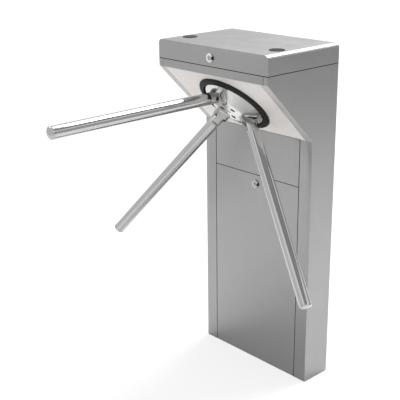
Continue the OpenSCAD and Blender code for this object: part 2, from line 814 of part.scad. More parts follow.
// Hub casting: a hollow cone with a solid core, three bosses and the tongues that carry the arms
module hub_casting() color(polished) difference() {
    union() {
        on_hub() rotate_extrude() polygon([[0, -hub_back], [core_r, -hub_back],
            [core_r, plateau_h - hub_wall], [plateau_r - hub_wall*half, plateau_h - hub_wall],
            [hub_r - hub_wall, hub_rim_h - hub_wall*half],
            [hub_r - hub_wall, -hub_back], [hub_r, -hub_back], [hub_r, hub_rim_h],
            [plateau_r, plateau_h], [0, plateau_h]]);
        for (i = [0:2]) {
            intersection() {
                on_arm(i) rounded_bar(boss_half_w, boss_half_h, boss_edge_r, boss_root, boss_face);
                on_hub() disc(hub_r - hub_wall*half, -apex_depth - boss_face, hub_back);
            }
            on_arm(i) tongue();
        }
    }
    for (i = [0:2]) on_arm(i) translate([0, 0, pin_at]) bar_x(pin_r + fit_gap, tongue_t + 2*over);
    on_hub() disc(rod_r + run_gap, -rod_front - rod_travel - over, hub_back + over);
    on_hub() hub_screw_places() {
        disc(hub_screw_r + fit_gap, -plateau_h - over, hub_back + over);
        disc(hub_head_r + seat_gap, -plateau_h - over, -plateau_h + hub_head_sink + hub_head_t);
    }
}

// Tongue: a square bar whose end swings in the hollow of the fork's slot
module tongue() block([-tongue_t*half, -tongue_half_h, boss_face - over],
    [tongue_t*half, tongue_half_h, pin_at + tongue_tip]);

module hub_screws() color(dark) on_hub() hub_screw_places() difference() {
    union() {
        disc(hub_screw_r, -plateau_h + hub_head_sink + hub_head_t - fit_gap, flange_back);
        disc(hub_head_r, -plateau_h + hub_head_sink, -plateau_h + hub_head_sink + hub_head_t);
    }
    translate([0, 0, plateau_h - hub_head_sink - socket_depth])
        cylinder(r = socket_r, h = socket_depth + over, $fn = 6);
}

// Fold pins, pressed in the tongues: a socket head on one side, plain on the other
module arm_pins() color(dark) for (i = [0:2]) on_arm(i) translate([0, 0, pin_at]) {
    difference() {
        union() {
            bar_x(pin_r, 2*(pin_reach - seat_gap));
            translate([pin_reach - over, 0, 0]) rotate([0, 90, 0])
                cylinder(r = pin_head_r, h = pin_head_t + over);
        }
        translate([pin_reach + pin_head_t*half, 0, 0]) rotate([0, 90, 0])
            cylinder(r = socket_r, h = pin_head_t, $fn = 6);
    }
}

// Fork of an arm: slotted for the tongue and its swing, bored for the pin, with a spigot in the tube
module arm_fork(i) color(polished) on_arm(i) difference() {
    rotate_extrude() polygon([[0, pin_at - heel], [fork_r - fork_bevel, pin_at - heel],
        [fork_r, pin_at - heel + fork_bevel], [fork_r, collar_end], [tube_r, tube_from],
        [tube_r - tube_wall - fit_gap, tube_from], [tube_r - tube_wall - fit_gap, tube_from + spigot_l],
        [spigot_bore_r, tube_from + spigot_l], [spigot_bore_r, tube_from + spigot_floor],
        [0, tube_from + spigot_floor]]);
    block([-tongue_t*half - cheek_gap, -fork_r - over, pin_at - heel - over],
        [tongue_t*half + cheek_gap, fork_r + over, slot_end]);
    translate([0, 0, pin_at]) bar_x(slot_swing, tongue_t + 2*cheek_gap);
    translate([0, 0, pin_at]) bar_x(pin_r + run_gap, 2*pin_reach);
    translate([pin_reach - over - run_gap, 0, pin_at]) rotate([0, 90, 0])
        cylinder(r = pin_head_r + run_gap, h = pin_head_t + pin_head_sink + 2*over);
}

module arm_tube(i) color(polished) on_arm(i) difference() {
    translate([0, 0, tube_from]) cylinder(r = tube_r, h = arm_reach - cap_h - tube_from);
    translate([0, 0, tube_from - over]) cylinder(r = tube_r - tube_wall, h = arm_reach);
}

// Domed cap that closes a tube, with a slight lip and a spigot
module arm_cap(i) color(polished) on_arm(i) {
    base = arm_reach - cap_h;
    r = tube_r + cap_lip;
    dome_r = (r*r + cap_h*cap_h*half*half)/cap_h;
    translate([0, 0, base]) cylinder(r = r, h = cap_h*half);
    intersection() {
        translate([0, 0, arm_reach - dome_r]) sphere(r = dome_r);
        translate([0, 0, base + cap_h*half - fit_gap]) cylinder(r = r, h = cap_h);
    }
    translate([0, 0, base - cap_spigot]) cylinder(r = tube_r - tube_wall - fit_gap, h = cap_spigot + fit_gap);
}

module arm_1_fork() arm_fork(0);
module arm_2_fork() arm_fork(1);
module arm_3_fork() arm_fork(2);
module arm_1_tube() arm_tube(0);
module arm_2_tube() arm_tube(1);
module arm_3_tube() arm_tube(2);
module arm_1_end_cap() arm_cap(0);
module arm_2_end_cap() arm_cap(1);
module arm_3_end_cap() arm_cap(2);

// Rod that the drop solenoid pushes through the hollow shaft
module drop_release_rod() color(polished) on_hub()
    disc(rod_r, -rod_front, back_plate_back + drop_l - rod_travel);

module drop_solenoid() color(dark) on_hub() difference() {
    disc(drop_r, back_plate_back, back_plate_back + drop_l);
    disc(rod_r + run_gap, back_plate_back - over, back_plate_back + drop_l - rod_travel*half);
}

// Outline of the lid seen from the front, drawn in X and Z, shrunk by d
module lid_section(d, low) {
    r = max(lid_edge_r - d, fit_gap);
    x = half_w - d;
    top = cabinet_h - d;
    translate([-x, low]) square([2*x, top - r - low]);
    translate([-x + r, low]) square([2*(x - r), top - low]);
    for (side = [-1, 1]) translate([side*(x - r), top - r]) circle(r = r);
}

module lid_run(from, to) translate([0, to, 0]) rotate([90, 0, 0]) linear_extrude(to - from) children();

module lid() color(steel_grey) difference() {
    lid_run(head_y, rear_y) lid_section(0, seam_z + seam_gap);
    lid_run(head_y + sheet, rear_y - sheet) lid_section(sheet, seam_z);
    for (x = [-lens_x, lens_x]) translate([x, head_y + lens_back, cabinet_h - sheet - over])
        cylinder(r = lens_r - lens_rim, h = sheet + 2*over);
    translate([0, head_y + sheet + over, seam_z + lid_lock_up]) rotate([90, 0, 0])
        cylinder(r = lock_body_r + fit_gap, h = sheet + 2*over);
}

// Round black lenses near both ends of the lid, a rim on the outside and a body through the hole
module indicator_lenses() color(dark) for (x = [-lens_x, lens_x])
    translate([x, head_y + lens_back, cabinet_h]) {
        cylinder(r = lens_r, h = lens_proud);
        translate([0, 0, -sheet - lens_sink])
            cylinder(r = lens_r - lens_rim - fit_gap, h = sheet + lens_sink + fit_gap);
    }

module indicator_boards() color(board_green) for (x = [-lens_x, lens_x])
    translate([x, head_y + lens_back, cabinet_h - sheet - lens_sink - lens_board_t])
        cylinder(r = lens_r - lens_rim - lens_board_inset, h = lens_board_t);

// Cam lock, drawn with its axis along +Z outwards and the panel's outer face at zero
module lock_barrel() difference() {
    union() {
        cylinder(r = lock_collar_r, h = lock_collar_t);
        translate([0, 0, -lock_body_l]) cylinder(r = lock_body_r, h = lock_body_l + fit_gap);
    }
    translate([0, 0, -lock_body_l - over])
        cylinder(r = lock_plug_r + run_gap, h = lock_body_l + lock_collar_t + 2*over);
}

// Plug with its key slot and the cam fixed on its tail; the cam lies across, unlocked
module lock_plug(cam_l) {
    tail = -lock_body_l - seat_gap - cam_t;
    difference() {
        translate([0, 0, tail + fit_gap])
            cylinder(r = lock_plug_r, h = lock_collar_t + plug_proud - tail - fit_gap);
        block([-key_w*half, -key_l*half, lock_collar_t + plug_proud - key_depth],
            [key_w*half, key_l*half, lock_collar_t + plug_proud + over]);
    }
    translate([0, 0, tail]) linear_extrude(cam_t) {
        circle(r = cam_w*half);
        translate([0, -cam_w*half]) square([cam_l - cam_w*half, cam_w]);
        translate([cam_l - cam_w*half, 0]) circle(r = cam_w*half);
    }
}

module on_lid_lock() translate([0, head_y, seam_z + lid_lock_up]) rotate([90, 0, 0]) children();
module on_door_lock() translate([0, front_y, door_lock_z]) rotate([90, 0, 0]) children();

module lid_lock_barrel() color(polished) on_lid_lock() lock_barrel();
module lid_lock_plug() color(polished) on_lid_lock() lock_plug(lid_cam_l);
module door_lock_barrel() color(polished) on_door_lock() lock_barrel();
module door_lock_plug() color(polished) on_door_lock() lock_plug(door_cam_l);

module service_door() color(steel_grey) {
    x = column_x - seam_gap;
    difference() {
        block([-x, front_y, door_z], [x, front_y + sheet, door_top]);
        translate([0, front_y + sheet + over, door_lock_z]) rotate([90, 0, 0])
            cylinder(r = lock_body_r + fit_gap, h = sheet + 2*over);
    }
    for (low = [-x, x - sheet])
        block([low, front_y, base_t + door_lip], [low + sheet, front_y + door_lip, door_top]);
    block([-x, front_y, door_top - sheet], [x, front_y + door_lip, door_top]);
}

// Butt hinges outside the rear panel, with the barrel at the seam
module hinge_frame() for (x = hinge_places) translate([x, rear_y + knuckle_off, seam_z]) children();

module knuckle(from, to) translate([from, 0, 0]) rotate([0, 90, 0]) difference() {
    cylinder(r = knuckle_r, h = to - from);
    translate([0, 0, -over]) cylinder(r = hinge_pin_r + run_gap, h = to - from + 2*over);
}

module lower_hinge_leaves() color(steel_grey) hinge_frame() {
    length = (hinge_l - hinge_mid_l)*half - knuckle_gap;
    block([-hinge_l*half, -knuckle_off, -leaf_clear - leaf_h],
        [hinge_l*half, -knuckle_off + leaf_t, -leaf_clear]);
    for (low = [-hinge_l*half, hinge_l*half - length]) {
        knuckle(low, low + length);
        block([low, -knuckle_off, -leaf_clear - over], [low + length, -knuckle_off + leaf_t, 0]);
    }
}

module upper_hinge_leaves() color(steel_grey) hinge_frame() {
    x = hinge_mid_l*half;
    block([-hinge_l*half, -knuckle_off, leaf_clear],
        [hinge_l*half, -knuckle_off + leaf_t, leaf_clear + leaf_h]);
    knuckle(-x, x);
    block([-x, -knuckle_off, 0], [x, -knuckle_off + leaf_t, leaf_clear + over]);
}

module lid_hinge_pins() color(polished) hinge_frame() bar_x(hinge_pin_r, hinge_l);

// Control board on the rear panel's standoffs, with relays, a terminal strip, a chip and two cans
module control_board() {
    back = rear_y - rear_t - standoff_l;
    face = back - board_t;
    top = board_z + board_h;
    color(board_green) block([-board_w*half, face, board_z], [board_w*half, back, top]);
    color(dark) for (i = [0:relay_count - 1]) translate([-board_w*half + relay_pitch*half + i*relay_pitch,
        face - relay[1] + fit_gap, top - relay_pitch - relay[2]]) cube(relay);
    color(brassy) translate([-terminal[0]*half, face - terminal[1] + fit_gap, board_z + standoff_inset])
        cube(terminal);
    color(dark) translate([relay_pitch, face - chip[1] + fit_gap, board_z + board_h*half - chip[2]*half])
        cube(chip);
    color(dark) for (x = [board_w*half - relay_pitch, board_w*half - 2*relay_pitch])
        translate([x, face + fit_gap, top - relay_pitch]) rotate([90, 0, 0])
            cylinder(r = cap_can_r, h = cap_can_l);
}

// Toroidal transformer clamped on the base plate
module transformer() color(dark) translate([coil_x, 0, base_t]) {
    rotate_extrude() {
        translate([coil_bore_r, coil_round]) square([coil_r - coil_bore_r, coil_h - 2*coil_round]);
        translate([coil_bore_r + coil_round, 0]) square([coil_r - coil_bore_r - 2*coil_round, coil_h]);
        for (r = [coil_bore_r + coil_round, coil_r - coil_round], z = [coil_round, coil_h - coil_round])
            translate([r, z]) circle(r = coil_round);
    }
    translate([0, 0, coil_h - fit_gap]) cylinder(r = coil_r - coil_round, h = coil_plate_t);
    cylinder(r = coil_bolt_r, h = coil_h + 2*coil_plate_t);
}

base_plate();
left_side_panel();
right_side_panel();
rear_panel();
upper_front_panel();
slanted_face_plate();
fascia();
trim_ring();
frame_tubes();
mechanism_plate();
bearing_housing();
bearing_outer_races();
mechanism_screws();
plate_pillars();
mechanism_back_plate();
pawl_posts();
pawl_springs();
solenoid_brackets();
locking_solenoids();
damper_body();
optical_sensor();
drop_solenoid();
lower_hinge_leaves();
lid_hinge_pins();
control_board();
transformer();
service_door();
door_lock_barrel();
door_lock_plug();
lid();
upper_hinge_leaves();
indicator_lenses();
indicator_boards();
lid_lock_barrel();
lid_lock_plug();
hub_casting();
hub_screws();
arm_pins();
main_shaft();
bearing_inner_races();
bearing_balls();
index_disc();
drive_gear();
encoder_disc();
shaft_nut();
damper_pinion();
entry_pawl();
exit_pawl();
entry_plunger();
exit_plunger();
drop_release_rod();
arm_1_fork();
arm_1_tube();
arm_1_end_cap();
arm_2_fork();
arm_2_tube();
arm_2_end_cap();
arm_3_fork();
arm_3_tube();
arm_3_end_cap();
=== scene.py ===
import bmesh
import bpy
import json
import numpy as np
from math import radians
from mathutils import Matrix, Vector


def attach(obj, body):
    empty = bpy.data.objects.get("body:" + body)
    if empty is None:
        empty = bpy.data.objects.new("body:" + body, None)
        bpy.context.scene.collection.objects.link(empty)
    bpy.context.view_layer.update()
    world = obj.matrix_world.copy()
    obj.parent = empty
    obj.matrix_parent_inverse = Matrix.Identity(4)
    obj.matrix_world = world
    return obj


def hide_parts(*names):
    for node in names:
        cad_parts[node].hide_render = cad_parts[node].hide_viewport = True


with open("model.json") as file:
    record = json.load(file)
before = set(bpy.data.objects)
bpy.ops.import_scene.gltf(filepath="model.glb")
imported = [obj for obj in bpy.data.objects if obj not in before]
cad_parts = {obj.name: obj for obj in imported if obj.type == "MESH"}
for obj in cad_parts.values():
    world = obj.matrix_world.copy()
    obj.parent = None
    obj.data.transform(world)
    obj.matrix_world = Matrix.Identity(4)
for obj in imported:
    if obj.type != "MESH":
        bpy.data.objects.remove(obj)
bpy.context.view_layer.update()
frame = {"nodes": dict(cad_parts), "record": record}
nodes = frame["nodes"]
scene = bpy.context.scene
print("frame loaded:", len(nodes), "nodes")


# Small helpers for numpy geometry

def unit(v):
    v = np.asarray(v, float)
    return v/np.linalg.norm(v)


def turned(v, axis, degrees):
    # Rodrigues: v cos a + (k x v) sin a + k (k.v)(1 - cos a)
    k, v, a = unit(axis), np.asarray(v, float), radians(degrees)
    return v*np.cos(a) + np.cross(k, v)*np.sin(a) + k*np.dot(k, v)*(1 - np.cos(a))


filleting = {"straight": 1.56, "reach": 0.49}


def roundedProfile(corners, steps=6):
    # corners are (radius, height, fillet); each fillet is an arc that touches both of its sides and takes less
    # than half of either; a corner that is nearly straight keeps its point
    pts = np.array([c[:2] for c in corners], float)
    out = [pts[0][None]]
    for before, here, after, r in zip(pts[:-2], pts[1:-1], pts[2:], [c[2] for c in corners[1:-1]]):
        a, b = unit(before - here), unit(after - here)
        half = np.arccos(np.clip(np.dot(a, b), -1, 1))/2
        if r <= 0 or half > filleting["straight"]:
            out.append(here[None])
            continue
        shorter = min(np.linalg.norm(before - here), np.linalg.norm(after - here))
        reach = min(r/np.tan(half), filleting["reach"]*shorter)
        r = reach*np.tan(half)
        centre = here + unit(a + b)*r/np.sin(half)
        start, end = here + a*reach - centre, here + b*reach - centre
        t = np.linspace(0, 1, steps + 1)[:, None]
        angle = np.arctan2(start[1], start[0])
        sweep = np.arctan2(end[1], end[0]) - angle
        sweep = (sweep + np.pi) % (2*np.pi) - np.pi
        out.append(centre + r*np.hstack([np.cos(angle + sweep*t), np.sin(angle + sweep*t)]))
    out.append(pts[-1][None])
    return np.vstack(out)


def gridFaces(rows, columns, closeRows=False):
    # quads between neighbouring rows and columns of a grid of points; the columns always close round
    i = np.arange(rows if closeRows else rows - 1)
    i, j = (g.ravel() for g in np.meshgrid(i, np.arange(columns), indexing="ij"))
    i2, j2 = (i + 1) % rows, (j + 1) % columns
    return np.stack([i*columns + j, i2*columns + j, i2*columns + j2, i*columns + j2], 1)


def revolved(profile, steps):
    # a point (r, h) of the profile goes to (r cos t, r sin t, h) for t all the way round
    t = np.linspace(0, 2*np.pi, steps, endpoint=False)
    r, h = profile[:, 0][:, None], profile[:, 1][:, None]
    pts = np.stack([r*np.cos(t), r*np.sin(t), h + 0*t], -1)
    along = np.concatenate([[0], np.cumsum(np.linalg.norm(np.diff(profile, axis=0), axis=1))])
    return pts, along, t


mergeGap = 1e-6


def addPiece(name, points, faces, body, slot, material, smooth, uv=None, replaced=()):
    # coincident points are merged, which closes seams and poles, and the faces are turned outwards
    mesh = bpy.data.meshes.new(name)
    mesh.from_pydata(np.asarray(points, float).reshape(-1, 3).tolist(), [], [list(f) for f in faces])
    if uv is not None:
        layer = mesh.uv_layers.new(name="surface")
        index = np.zeros(len(mesh.loops), np.int32)
        mesh.loops.foreach_get("vertex_index", index)
        layer.data.foreach_set("uv", np.asarray(uv, float).reshape(-1, 2)[index].ravel())
    bm = bmesh.new()
    bm.from_mesh(mesh)
    bmesh.ops.remove_doubles(bm, verts=bm.verts, dist=mergeGap)
    bmesh.ops.recalc_face_normals(bm, faces=bm.faces)
    bm.to_mesh(mesh)
    bm.free()
    return finishPiece(name, mesh, body, slot, material, smooth, replaced)


def finishPiece(name, mesh, body, slot, material, smooth, replaced):
    mesh.materials.clear()
    mesh.materials.append(material)
    mesh.set_sharp_from_angle(angle=radians(smooth))
    mesh.polygons.foreach_set("use_smooth", [True]*len(mesh.polygons))
    piece = bpy.data.objects.new(name, mesh)
    scene.collection.objects.link(piece)
    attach(piece, body)
    if replaced:
        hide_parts(*replaced)
    return piece


def bodyOf(node):
    return next(b for b, members in frame["record"]["behaviour"]["bodies"].items() if node in members)


def slotOf(node):
    return next(p["material_slot"] for p in frame["record"]["subparts"] if p["node"] == node)


rounding = {"merge": 2e-6, "flat": 0.4, "corner": 28, "smooth": 32, "segments": 2, "seamReach": 0.0004,
            "seamShare": 0.08}


def softened(node, material, width, crisp=()):
    # a merged copy of a node, with its hard edges rounded; edges at the crisp heights are rounded less
    mesh = nodes[node].data.copy()
    bm = bmesh.new()
    bm.from_mesh(mesh)
    bmesh.ops.remove_doubles(bm, verts=bm.verts, dist=rounding["merge"])
    bmesh.ops.dissolve_limit(bm, angle_limit=radians(rounding["flat"]), verts=bm.verts, edges=bm.edges)
    weight = bm.edges.layers.float.new("bevel_weight_edge")
    for edge in bm.edges:
        middle = (edge.verts[0].co.z + edge.verts[1].co.z)/2
        seam = any(abs(middle - z) < rounding["seamReach"] for z in crisp)
        hard = edge.calc_face_angle(0) > radians(rounding["corner"])
        edge[weight] = (rounding["seamShare"] if seam else 1.0) if hard else 0.0
    bm.to_mesh(mesh)
    bm.free()
    piece = finishPiece(node + "_rounded", mesh, bodyOf(node), slotOf(node), material, rounding["smooth"],
                        (node,))
    bevel = piece.modifiers.new("edges", "BEVEL")
    bevel.width = width
    bevel.segments = rounding["segments"]
    bevel.limit_method = "WEIGHT"
    bevel.harden_normals = True
    bevel.use_clamp_overlap = True
    return piece


# Shader maths: a wire is a socket that can be added, multiplied and so on

class Wire:
    def __init__(self, shader, socket):
        self.shader, self.socket = shader, socket

    def math(self, operation, other=0.0, swapped=False):
        pair = (other, self) if swapped else (self, other)
        return self.shader.node("ShaderNodeMath", {"operation": operation}, {0: pair[0], 1: pair[1]})

    def __add__(self, other):
        return self.math("ADD", other)

    def __radd__(self, other):
        return self.math("ADD", other, True)

    def __sub__(self, other):
        return self.math("SUBTRACT", other)

    def __rsub__(self, other):
        return self.math("SUBTRACT", other, True)

    def __mul__(self, other):
        return self.math("MULTIPLY", other)

    def __rmul__(self, other):
        return self.math("MULTIPLY", other, True)

    def __pow__(self, other):
        return self.math("POWER", other)

    def __gt__(self, other):
        return self.math("GREATER_THAN", other)

    def __lt__(self, other):
        return self.math("LESS_THAN", other)

    def __abs__(self):
        return self.math("ABSOLUTE")

    def most(self, other):
        return self.math("MAXIMUM", other)

    def least(self, other):
        return self.math("MINIMUM", other)

    def wave(self):
        # a sine between 0 and 1
        return self.math("SINE")*0.5 + 0.5


class Shader:
    def __init__(self, name, holder=None):
        # the holder of the nodes is a new material, or the world
        self.holder = bpy.data.materials.new(name) if holder is None else holder
        self.holder.use_nodes = True
        self.tree = self.holder.node_tree
        self.tree.nodes.clear()

    def node(self, kind, settings=None, values=None, output=0):
        # settings come first, then the sockets' values or wires; sockets go by place, identifier or name
        made = self.tree.nodes.new(kind)
        for key, value in (settings or {}).items():
            setattr(made, key, value)
        for key, value in (values or {}).items():
            socket = self.pick(made.inputs, key)
            if isinstance(value, Wire):
                self.tree.links.new(value.socket, socket)
            else:
                socket.default_value = value
        return Wire(self, self.pick(made.outputs, output))

    def pick(self, sockets, key):
        if isinstance(key, int):
            return sockets[key]
        return next(s for s in sockets if key in (s.identifier, s.name))

    def place(self):
        return self.node("ShaderNodeTexCoord", output="Object")

    def split(self, vector):
        made = self.node("ShaderNodeSeparateXYZ", values={0: vector}).socket.node
        return [Wire(self, s) for s in made.outputs]

    def join(self, x, y, z):
        return self.node("ShaderNodeCombineXYZ", values={0: x, 1: y, 2: z})

    def noise(self, vector, scale, detail=3.0, rough=0.5):
        return self.node("ShaderNodeTexNoise", {"noise_dimensions": "3D"},
                         {"Vector": vector, "Scale": scale, "Detail": detail, "Roughness": rough})

    def cells(self, scale):
        # distance from the nearest of many scattered points
        return self.node("ShaderNodeTexVoronoi", {"feature": "F1"}, {"Vector": self.place(), "Scale": scale},
                         "Distance")

    def blend(self, factor, low, high):
        low, high = (c if isinstance(c, Wire) else (*c, 1) for c in (low, high))
        return self.node("ShaderNodeMix", {"data_type": "RGBA"},
                         {"Factor_Float": factor, "A_Color": low, "B_Color": high}, "Result_Color")

    def shades(self, tone, colour, less, more):
        # from a darker to a paler shade of one colour
        return self.blend(tone, dimmed(colour, less), dimmed(colour, more))

    def spread(self, wire, low, high, outLow=0.0, outHigh=1.0):
        return self.node("ShaderNodeMapRange", {"clamp": True},
                         {"Value": wire, "From Min": low, "From Max": high, "To Min": outLow, "To Max": outHigh})

    def bump(self, height, strength, distance):
        return self.node("ShaderNodeBump", None,
                         {"Height": height, "Strength": strength, "Distance": distance})

    def principled(self, values):
        return self.node("ShaderNodeBsdfPrincipled", None, values, "BSDF")

    def glow(self, colour, strength):
        return self.node("ShaderNodeEmission", None, {"Color": colour, "Strength": strength}, "Emission")

    def out(self, surface, kind="ShaderNodeOutputMaterial"):
        made = self.tree.nodes.new(kind)
        self.tree.links.new(surface.socket, made.inputs["Surface"])
        return self.holder

    def finish(self, values):
        return self.out(self.principled(values))


def dimmed(colour, amount):
    return tuple(min(1.0, c*amount) for c in colour)


print("helpers ready")


# Finishes of the sheet metal, with the brushing along one axis of the panel

brushed = {"colour": (0.375, 0.373, 0.372), "pale": (0.740, 0.712, 0.692), "strip": (0.46, 0.452, 0.445),
           "fine": 900.0, "long": 5.0, "cloud": 3.0, "hands": 17.0, "rough": (0.30, 0.44), "contrast": 0.04,
           # painted light: strip and litStripMatt make the side panels' narrow return on the slope paler and
           # less metallic
           "slope": 0.6935, "stripHalf": 0.0012, "litStripMatt": 0.7, "foot": 0.7425,
           # painted light: litFoot makes the pale plate paler towards its foot, out of its shade
           "litFoot": (0.830, 0.750, 1.22), "bump": (0.12, 0.0002)}
seams = {"lid": 0.9464, "doorTop": 0.6044, "doorSide": 0.1666, "front": -0.040, "head": 0.744,
         "shadeReach": (0.0007, 0.0014), "shadeTone": 0.06}


def seamShade(s, x, y, z):
    # painted shade: 1 in the seams and fading out of them, by the least of three distances: |z - lid| to the
    # lid's seam, the larger of |z - doorTop| and |x| - doorSide to the door's top, and | |x| - doorSide | to the
    # door's sides, which end at the head; the last two are kept to the front by y - front
    across = abs(x) - seams["doorSide"]
    behind = y - seams["front"]
    lid = abs(z - seams["lid"])
    top = abs(z - seams["doorTop"]).most(across).most(behind)
    side = abs(across).most(behind).most(z - seams["head"])
    return s.spread(lid.least(top).least(side), *seams["shadeReach"], 1.0, 0.0)


def brushedSheet(name, grain, colour, metal=1.0, lift=0.0, slope=None, litFoot=None):
    # streaks: noise squeezed across the grain and stretched along it; a slow cloud varies the polish.
    # Where y + z is the slope's height, the narrow return takes the strip's paler tone as painted sheen;
    # litFoot: painted light; the tone climbs in a straight line as z falls from the first height to the second
    s = Shader(name)
    x, y, z = s.split(s.place())
    squeeze = [brushed["long"] if axis == grain else brushed["fine"] for axis in "xyz"]
    lines = s.noise(s.join(x*squeeze[0], y*squeeze[1], z*squeeze[2]), 1.0, 4.0, 0.6)
    cloud = s.noise(s.place(), brushed["cloud"], 2.0)
    hands = s.noise(s.place(), brushed["hands"], 4.0, 0.6)
    tone = s.spread(lines*0.75 + cloud*0.25, 0.35, 0.65)
    less, more = 1 - brushed["contrast"], 1 + brushed["contrast"]
    paint = s.shades(tone, colour, less, more)
    rough = s.spread(lines*0.5 + hands*0.5, 0.3, 0.7, *(end + lift for end in brushed["rough"]))
    if slope is not None:
        # painted light: the narrow return is paler and less metallic than the same steel, for the sheen it
        # catches
        onSlope = (abs(y + z - slope) < brushed["stripHalf"])*(z > brushed["foot"])
        paint = s.blend(onSlope, paint, s.shades(tone, brushed["strip"], less, more))
        metal = 1 - onSlope*brushed["litStripMatt"]
    # painted light: the pale plate turns paler towards its foot
    if litFoot is not None:
        paint = s.blend(s.spread(z, litFoot[1], litFoot[0], 1.0, 0.0), paint, dimmed(colour, litFoot[2]))
    # painted shade: the colour darkens in the seams, where the gaps are shaded
    paint = s.blend(seamShade(s, x, y, z), paint, dimmed(colour, seams["shadeTone"]))
    return s.finish({"Base Color": paint, "Metallic": metal, "Roughness": rough,
                     "Normal": s.bump(lines, *brushed["bump"])})


brushedUpright = brushedSheet("brushed_upright", "z", brushed["colour"])
brushedAcross = brushedSheet("brushed_across", "x", brushed["colour"])
brushedSide = brushedSheet("brushed_side", "z", brushed["colour"], slope=brushed["slope"])
brushedPale = brushedSheet("brushed_pale", "x", brushed["pale"], metal=0.20, lift=0.18, litFoot=brushed["litFoot"])


# Finishes of the arms and the hub

tubeFinish = {"colour": (0.535, 0.535, 0.535), "lines": 260.0, "touch": 24.0, "shades": (0.93, 1.06),
              "rough": (0.05, 0.11), "bump": (0.06, 0.0002)}


def polishedTube():
    # faint polishing rings run round the tube: noise that is squeezed along its length (UV's second axis)
    s = Shader("polished_tube")
    u, v, _ = s.split(s.node("ShaderNodeTexCoord", output="UV"))
    rings = s.noise(s.join(u*0.6, v*tubeFinish["lines"], 0.0), 3.0, 4.0, 0.65)
    touch = s.noise(s.place(), tubeFinish["touch"], 4.0, 0.55)
    wipe = s.noise(s.join(u*2.0, v*3.0, 1.0), 2.0, 3.0)
    tone = s.spread(rings*0.6 + wipe*0.4, 0.3, 0.7)
    paint = s.shades(tone, tubeFinish["colour"], *tubeFinish["shades"])
    return s.finish({"Base Color": paint, "Metallic": 1.0,
                     "Roughness": s.spread(rings*0.45 + touch*0.55, 0.32, 0.68, *tubeFinish["rough"]),
                     "Normal": s.bump(rings, *tubeFinish["bump"])})


casting = {"waves": 34.0, "swirl": 420.0, "pits": 240.0, "pitSize": (0.02, 0.09), "shades": (0.93, 1.05),
           "bump": (0.10, 0.0006)}


def polishedCasting(name, colour, rough):
    # a buffed casting: slow waves left by the wheel, fine swirls, and small pits that stayed in the skin
    s = Shader(name)
    waves = s.noise(s.place(), casting["waves"], 2.0)
    swirl = s.noise(s.place(), casting["swirl"], 3.0, 0.6)
    pits = s.spread(s.cells(casting["pits"]), *casting["pitSize"])
    tone = s.spread(waves*0.6 + swirl*0.4, 0.35, 0.65)
    return s.finish({"Base Color": s.shades(tone, colour, *casting["shades"]), "Metallic": 1.0,
                     "Roughness": s.spread(swirl*0.6 + waves*0.4, 0.3, 0.7, *rough),
                     "Normal": s.bump(waves*0.85 + pits*0.15, *casting["bump"])})


hubCast = polishedCasting("polished_hub", (0.66, 0.66, 0.65), (0.14, 0.28))
forkCast = polishedCasting("polished_fork", (0.50, 0.50, 0.495), (0.38, 0.50))
lugCast = polishedCasting("ground_lug", (0.37, 0.37, 0.366), (0.08, 0.15))
jointCast = polishedCasting("milled_joint", (0.45, 0.45, 0.445), (0.26, 0.40))
chrome = polishedCasting("chromed_lock", (0.93, 0.93, 0.93), (0.10, 0.20))
tubeSteel = polishedTube()


# Plain finishes: darkest and palest shade, least and most roughness, metal, scale of the clouds, scale of the
# grain, and where they differ from the usual ones the strength of the bump and the gloss

plainLooks = {
    "ring_black": ((0.010, 0.009, 0.008), (0.018, 0.016, 0.015), (0.55, 0.70), 0.0, 30.0, 1500.0, 0.15, 0.20),
    "black_oxide": ((0.010, 0.010, 0.011), (0.022, 0.022, 0.024), (0.38, 0.55), 0.0, 200.0, 1800.0, 0.15, 0.3),
    # near-black foam seals, partly painted shade for the seams
    "seal_foam_and_shade": ((0.006, 0.006, 0.006), (0.014, 0.014, 0.014), (0.75, 0.95), 0.0, 90.0, 2200.0, 0.4, 0.1),
    "machined_steel": ((0.36, 0.365, 0.37), (0.46, 0.465, 0.47), (0.26, 0.42), 1.0, 40.0, 900.0),
    "machined_alloy": ((0.56, 0.565, 0.57), (0.66, 0.665, 0.67), (0.28, 0.44), 1.0, 30.0, 800.0),
    "galvanised_steel": ((0.33, 0.34, 0.35), (0.50, 0.51, 0.52), (0.34, 0.55), 1.0, 55.0, 300.0),
    "blackened_steel": ((0.022, 0.022, 0.024), (0.05, 0.05, 0.052), (0.28, 0.45), 0.7, 200.0, 1800.0),
    "moulded_black": ((0.016, 0.016, 0.017), (0.028, 0.028, 0.029), (0.40, 0.58), 0.0, 60.0, 2400.0),
    "turned_brass": ((0.50, 0.36, 0.12), (0.66, 0.50, 0.20), (0.24, 0.40), 1.0, 60.0, 900.0),
    "ground_steel": ((0.50, 0.505, 0.51), (0.60, 0.605, 0.61), (0.14, 0.26), 1.0, 80.0, 1200.0, 0.05),
    "spring_wire": ((0.26, 0.26, 0.27), (0.38, 0.38, 0.39), (0.22, 0.36), 1.0, 300.0, 2600.0),
}
plainBumpDepth = 0.0004


def plainFinish(name, low, high, rough, metal, scale, grain, bump=0.15, gloss=0.5):
    # two close shades mixed by noise, which also moves the roughness and lifts a fine grain
    s = Shader(name)
    broad = s.noise(s.place(), scale, 3.0)
    fine = s.noise(s.place(), grain, 3.0, 0.6)
    mix = s.spread(broad*0.55 + fine*0.45, 0.35, 0.65)
    return s.finish({"Base Color": s.blend(mix, low, high), "Metallic": metal, "Specular IOR Level": gloss,
                     "Roughness": s.spread(fine*0.6 + broad*0.4, 0.3, 0.7, *rough),
                     "Normal": s.bump(fine, bump, plainBumpDepth)})


finishes = {name: plainFinish(name, *look) for name, look in plainLooks.items()}


lensFinish = {"centres": [(-0.166, -0.150), (0.166, -0.150)], "pitch": 0.0016, "reach": 0.0165, "dust": 900.0,
              "between": (0.008, 0.008, 0.009), "crest": (0.022, 0.020, 0.020), "rough": (0.10, 0.24)}


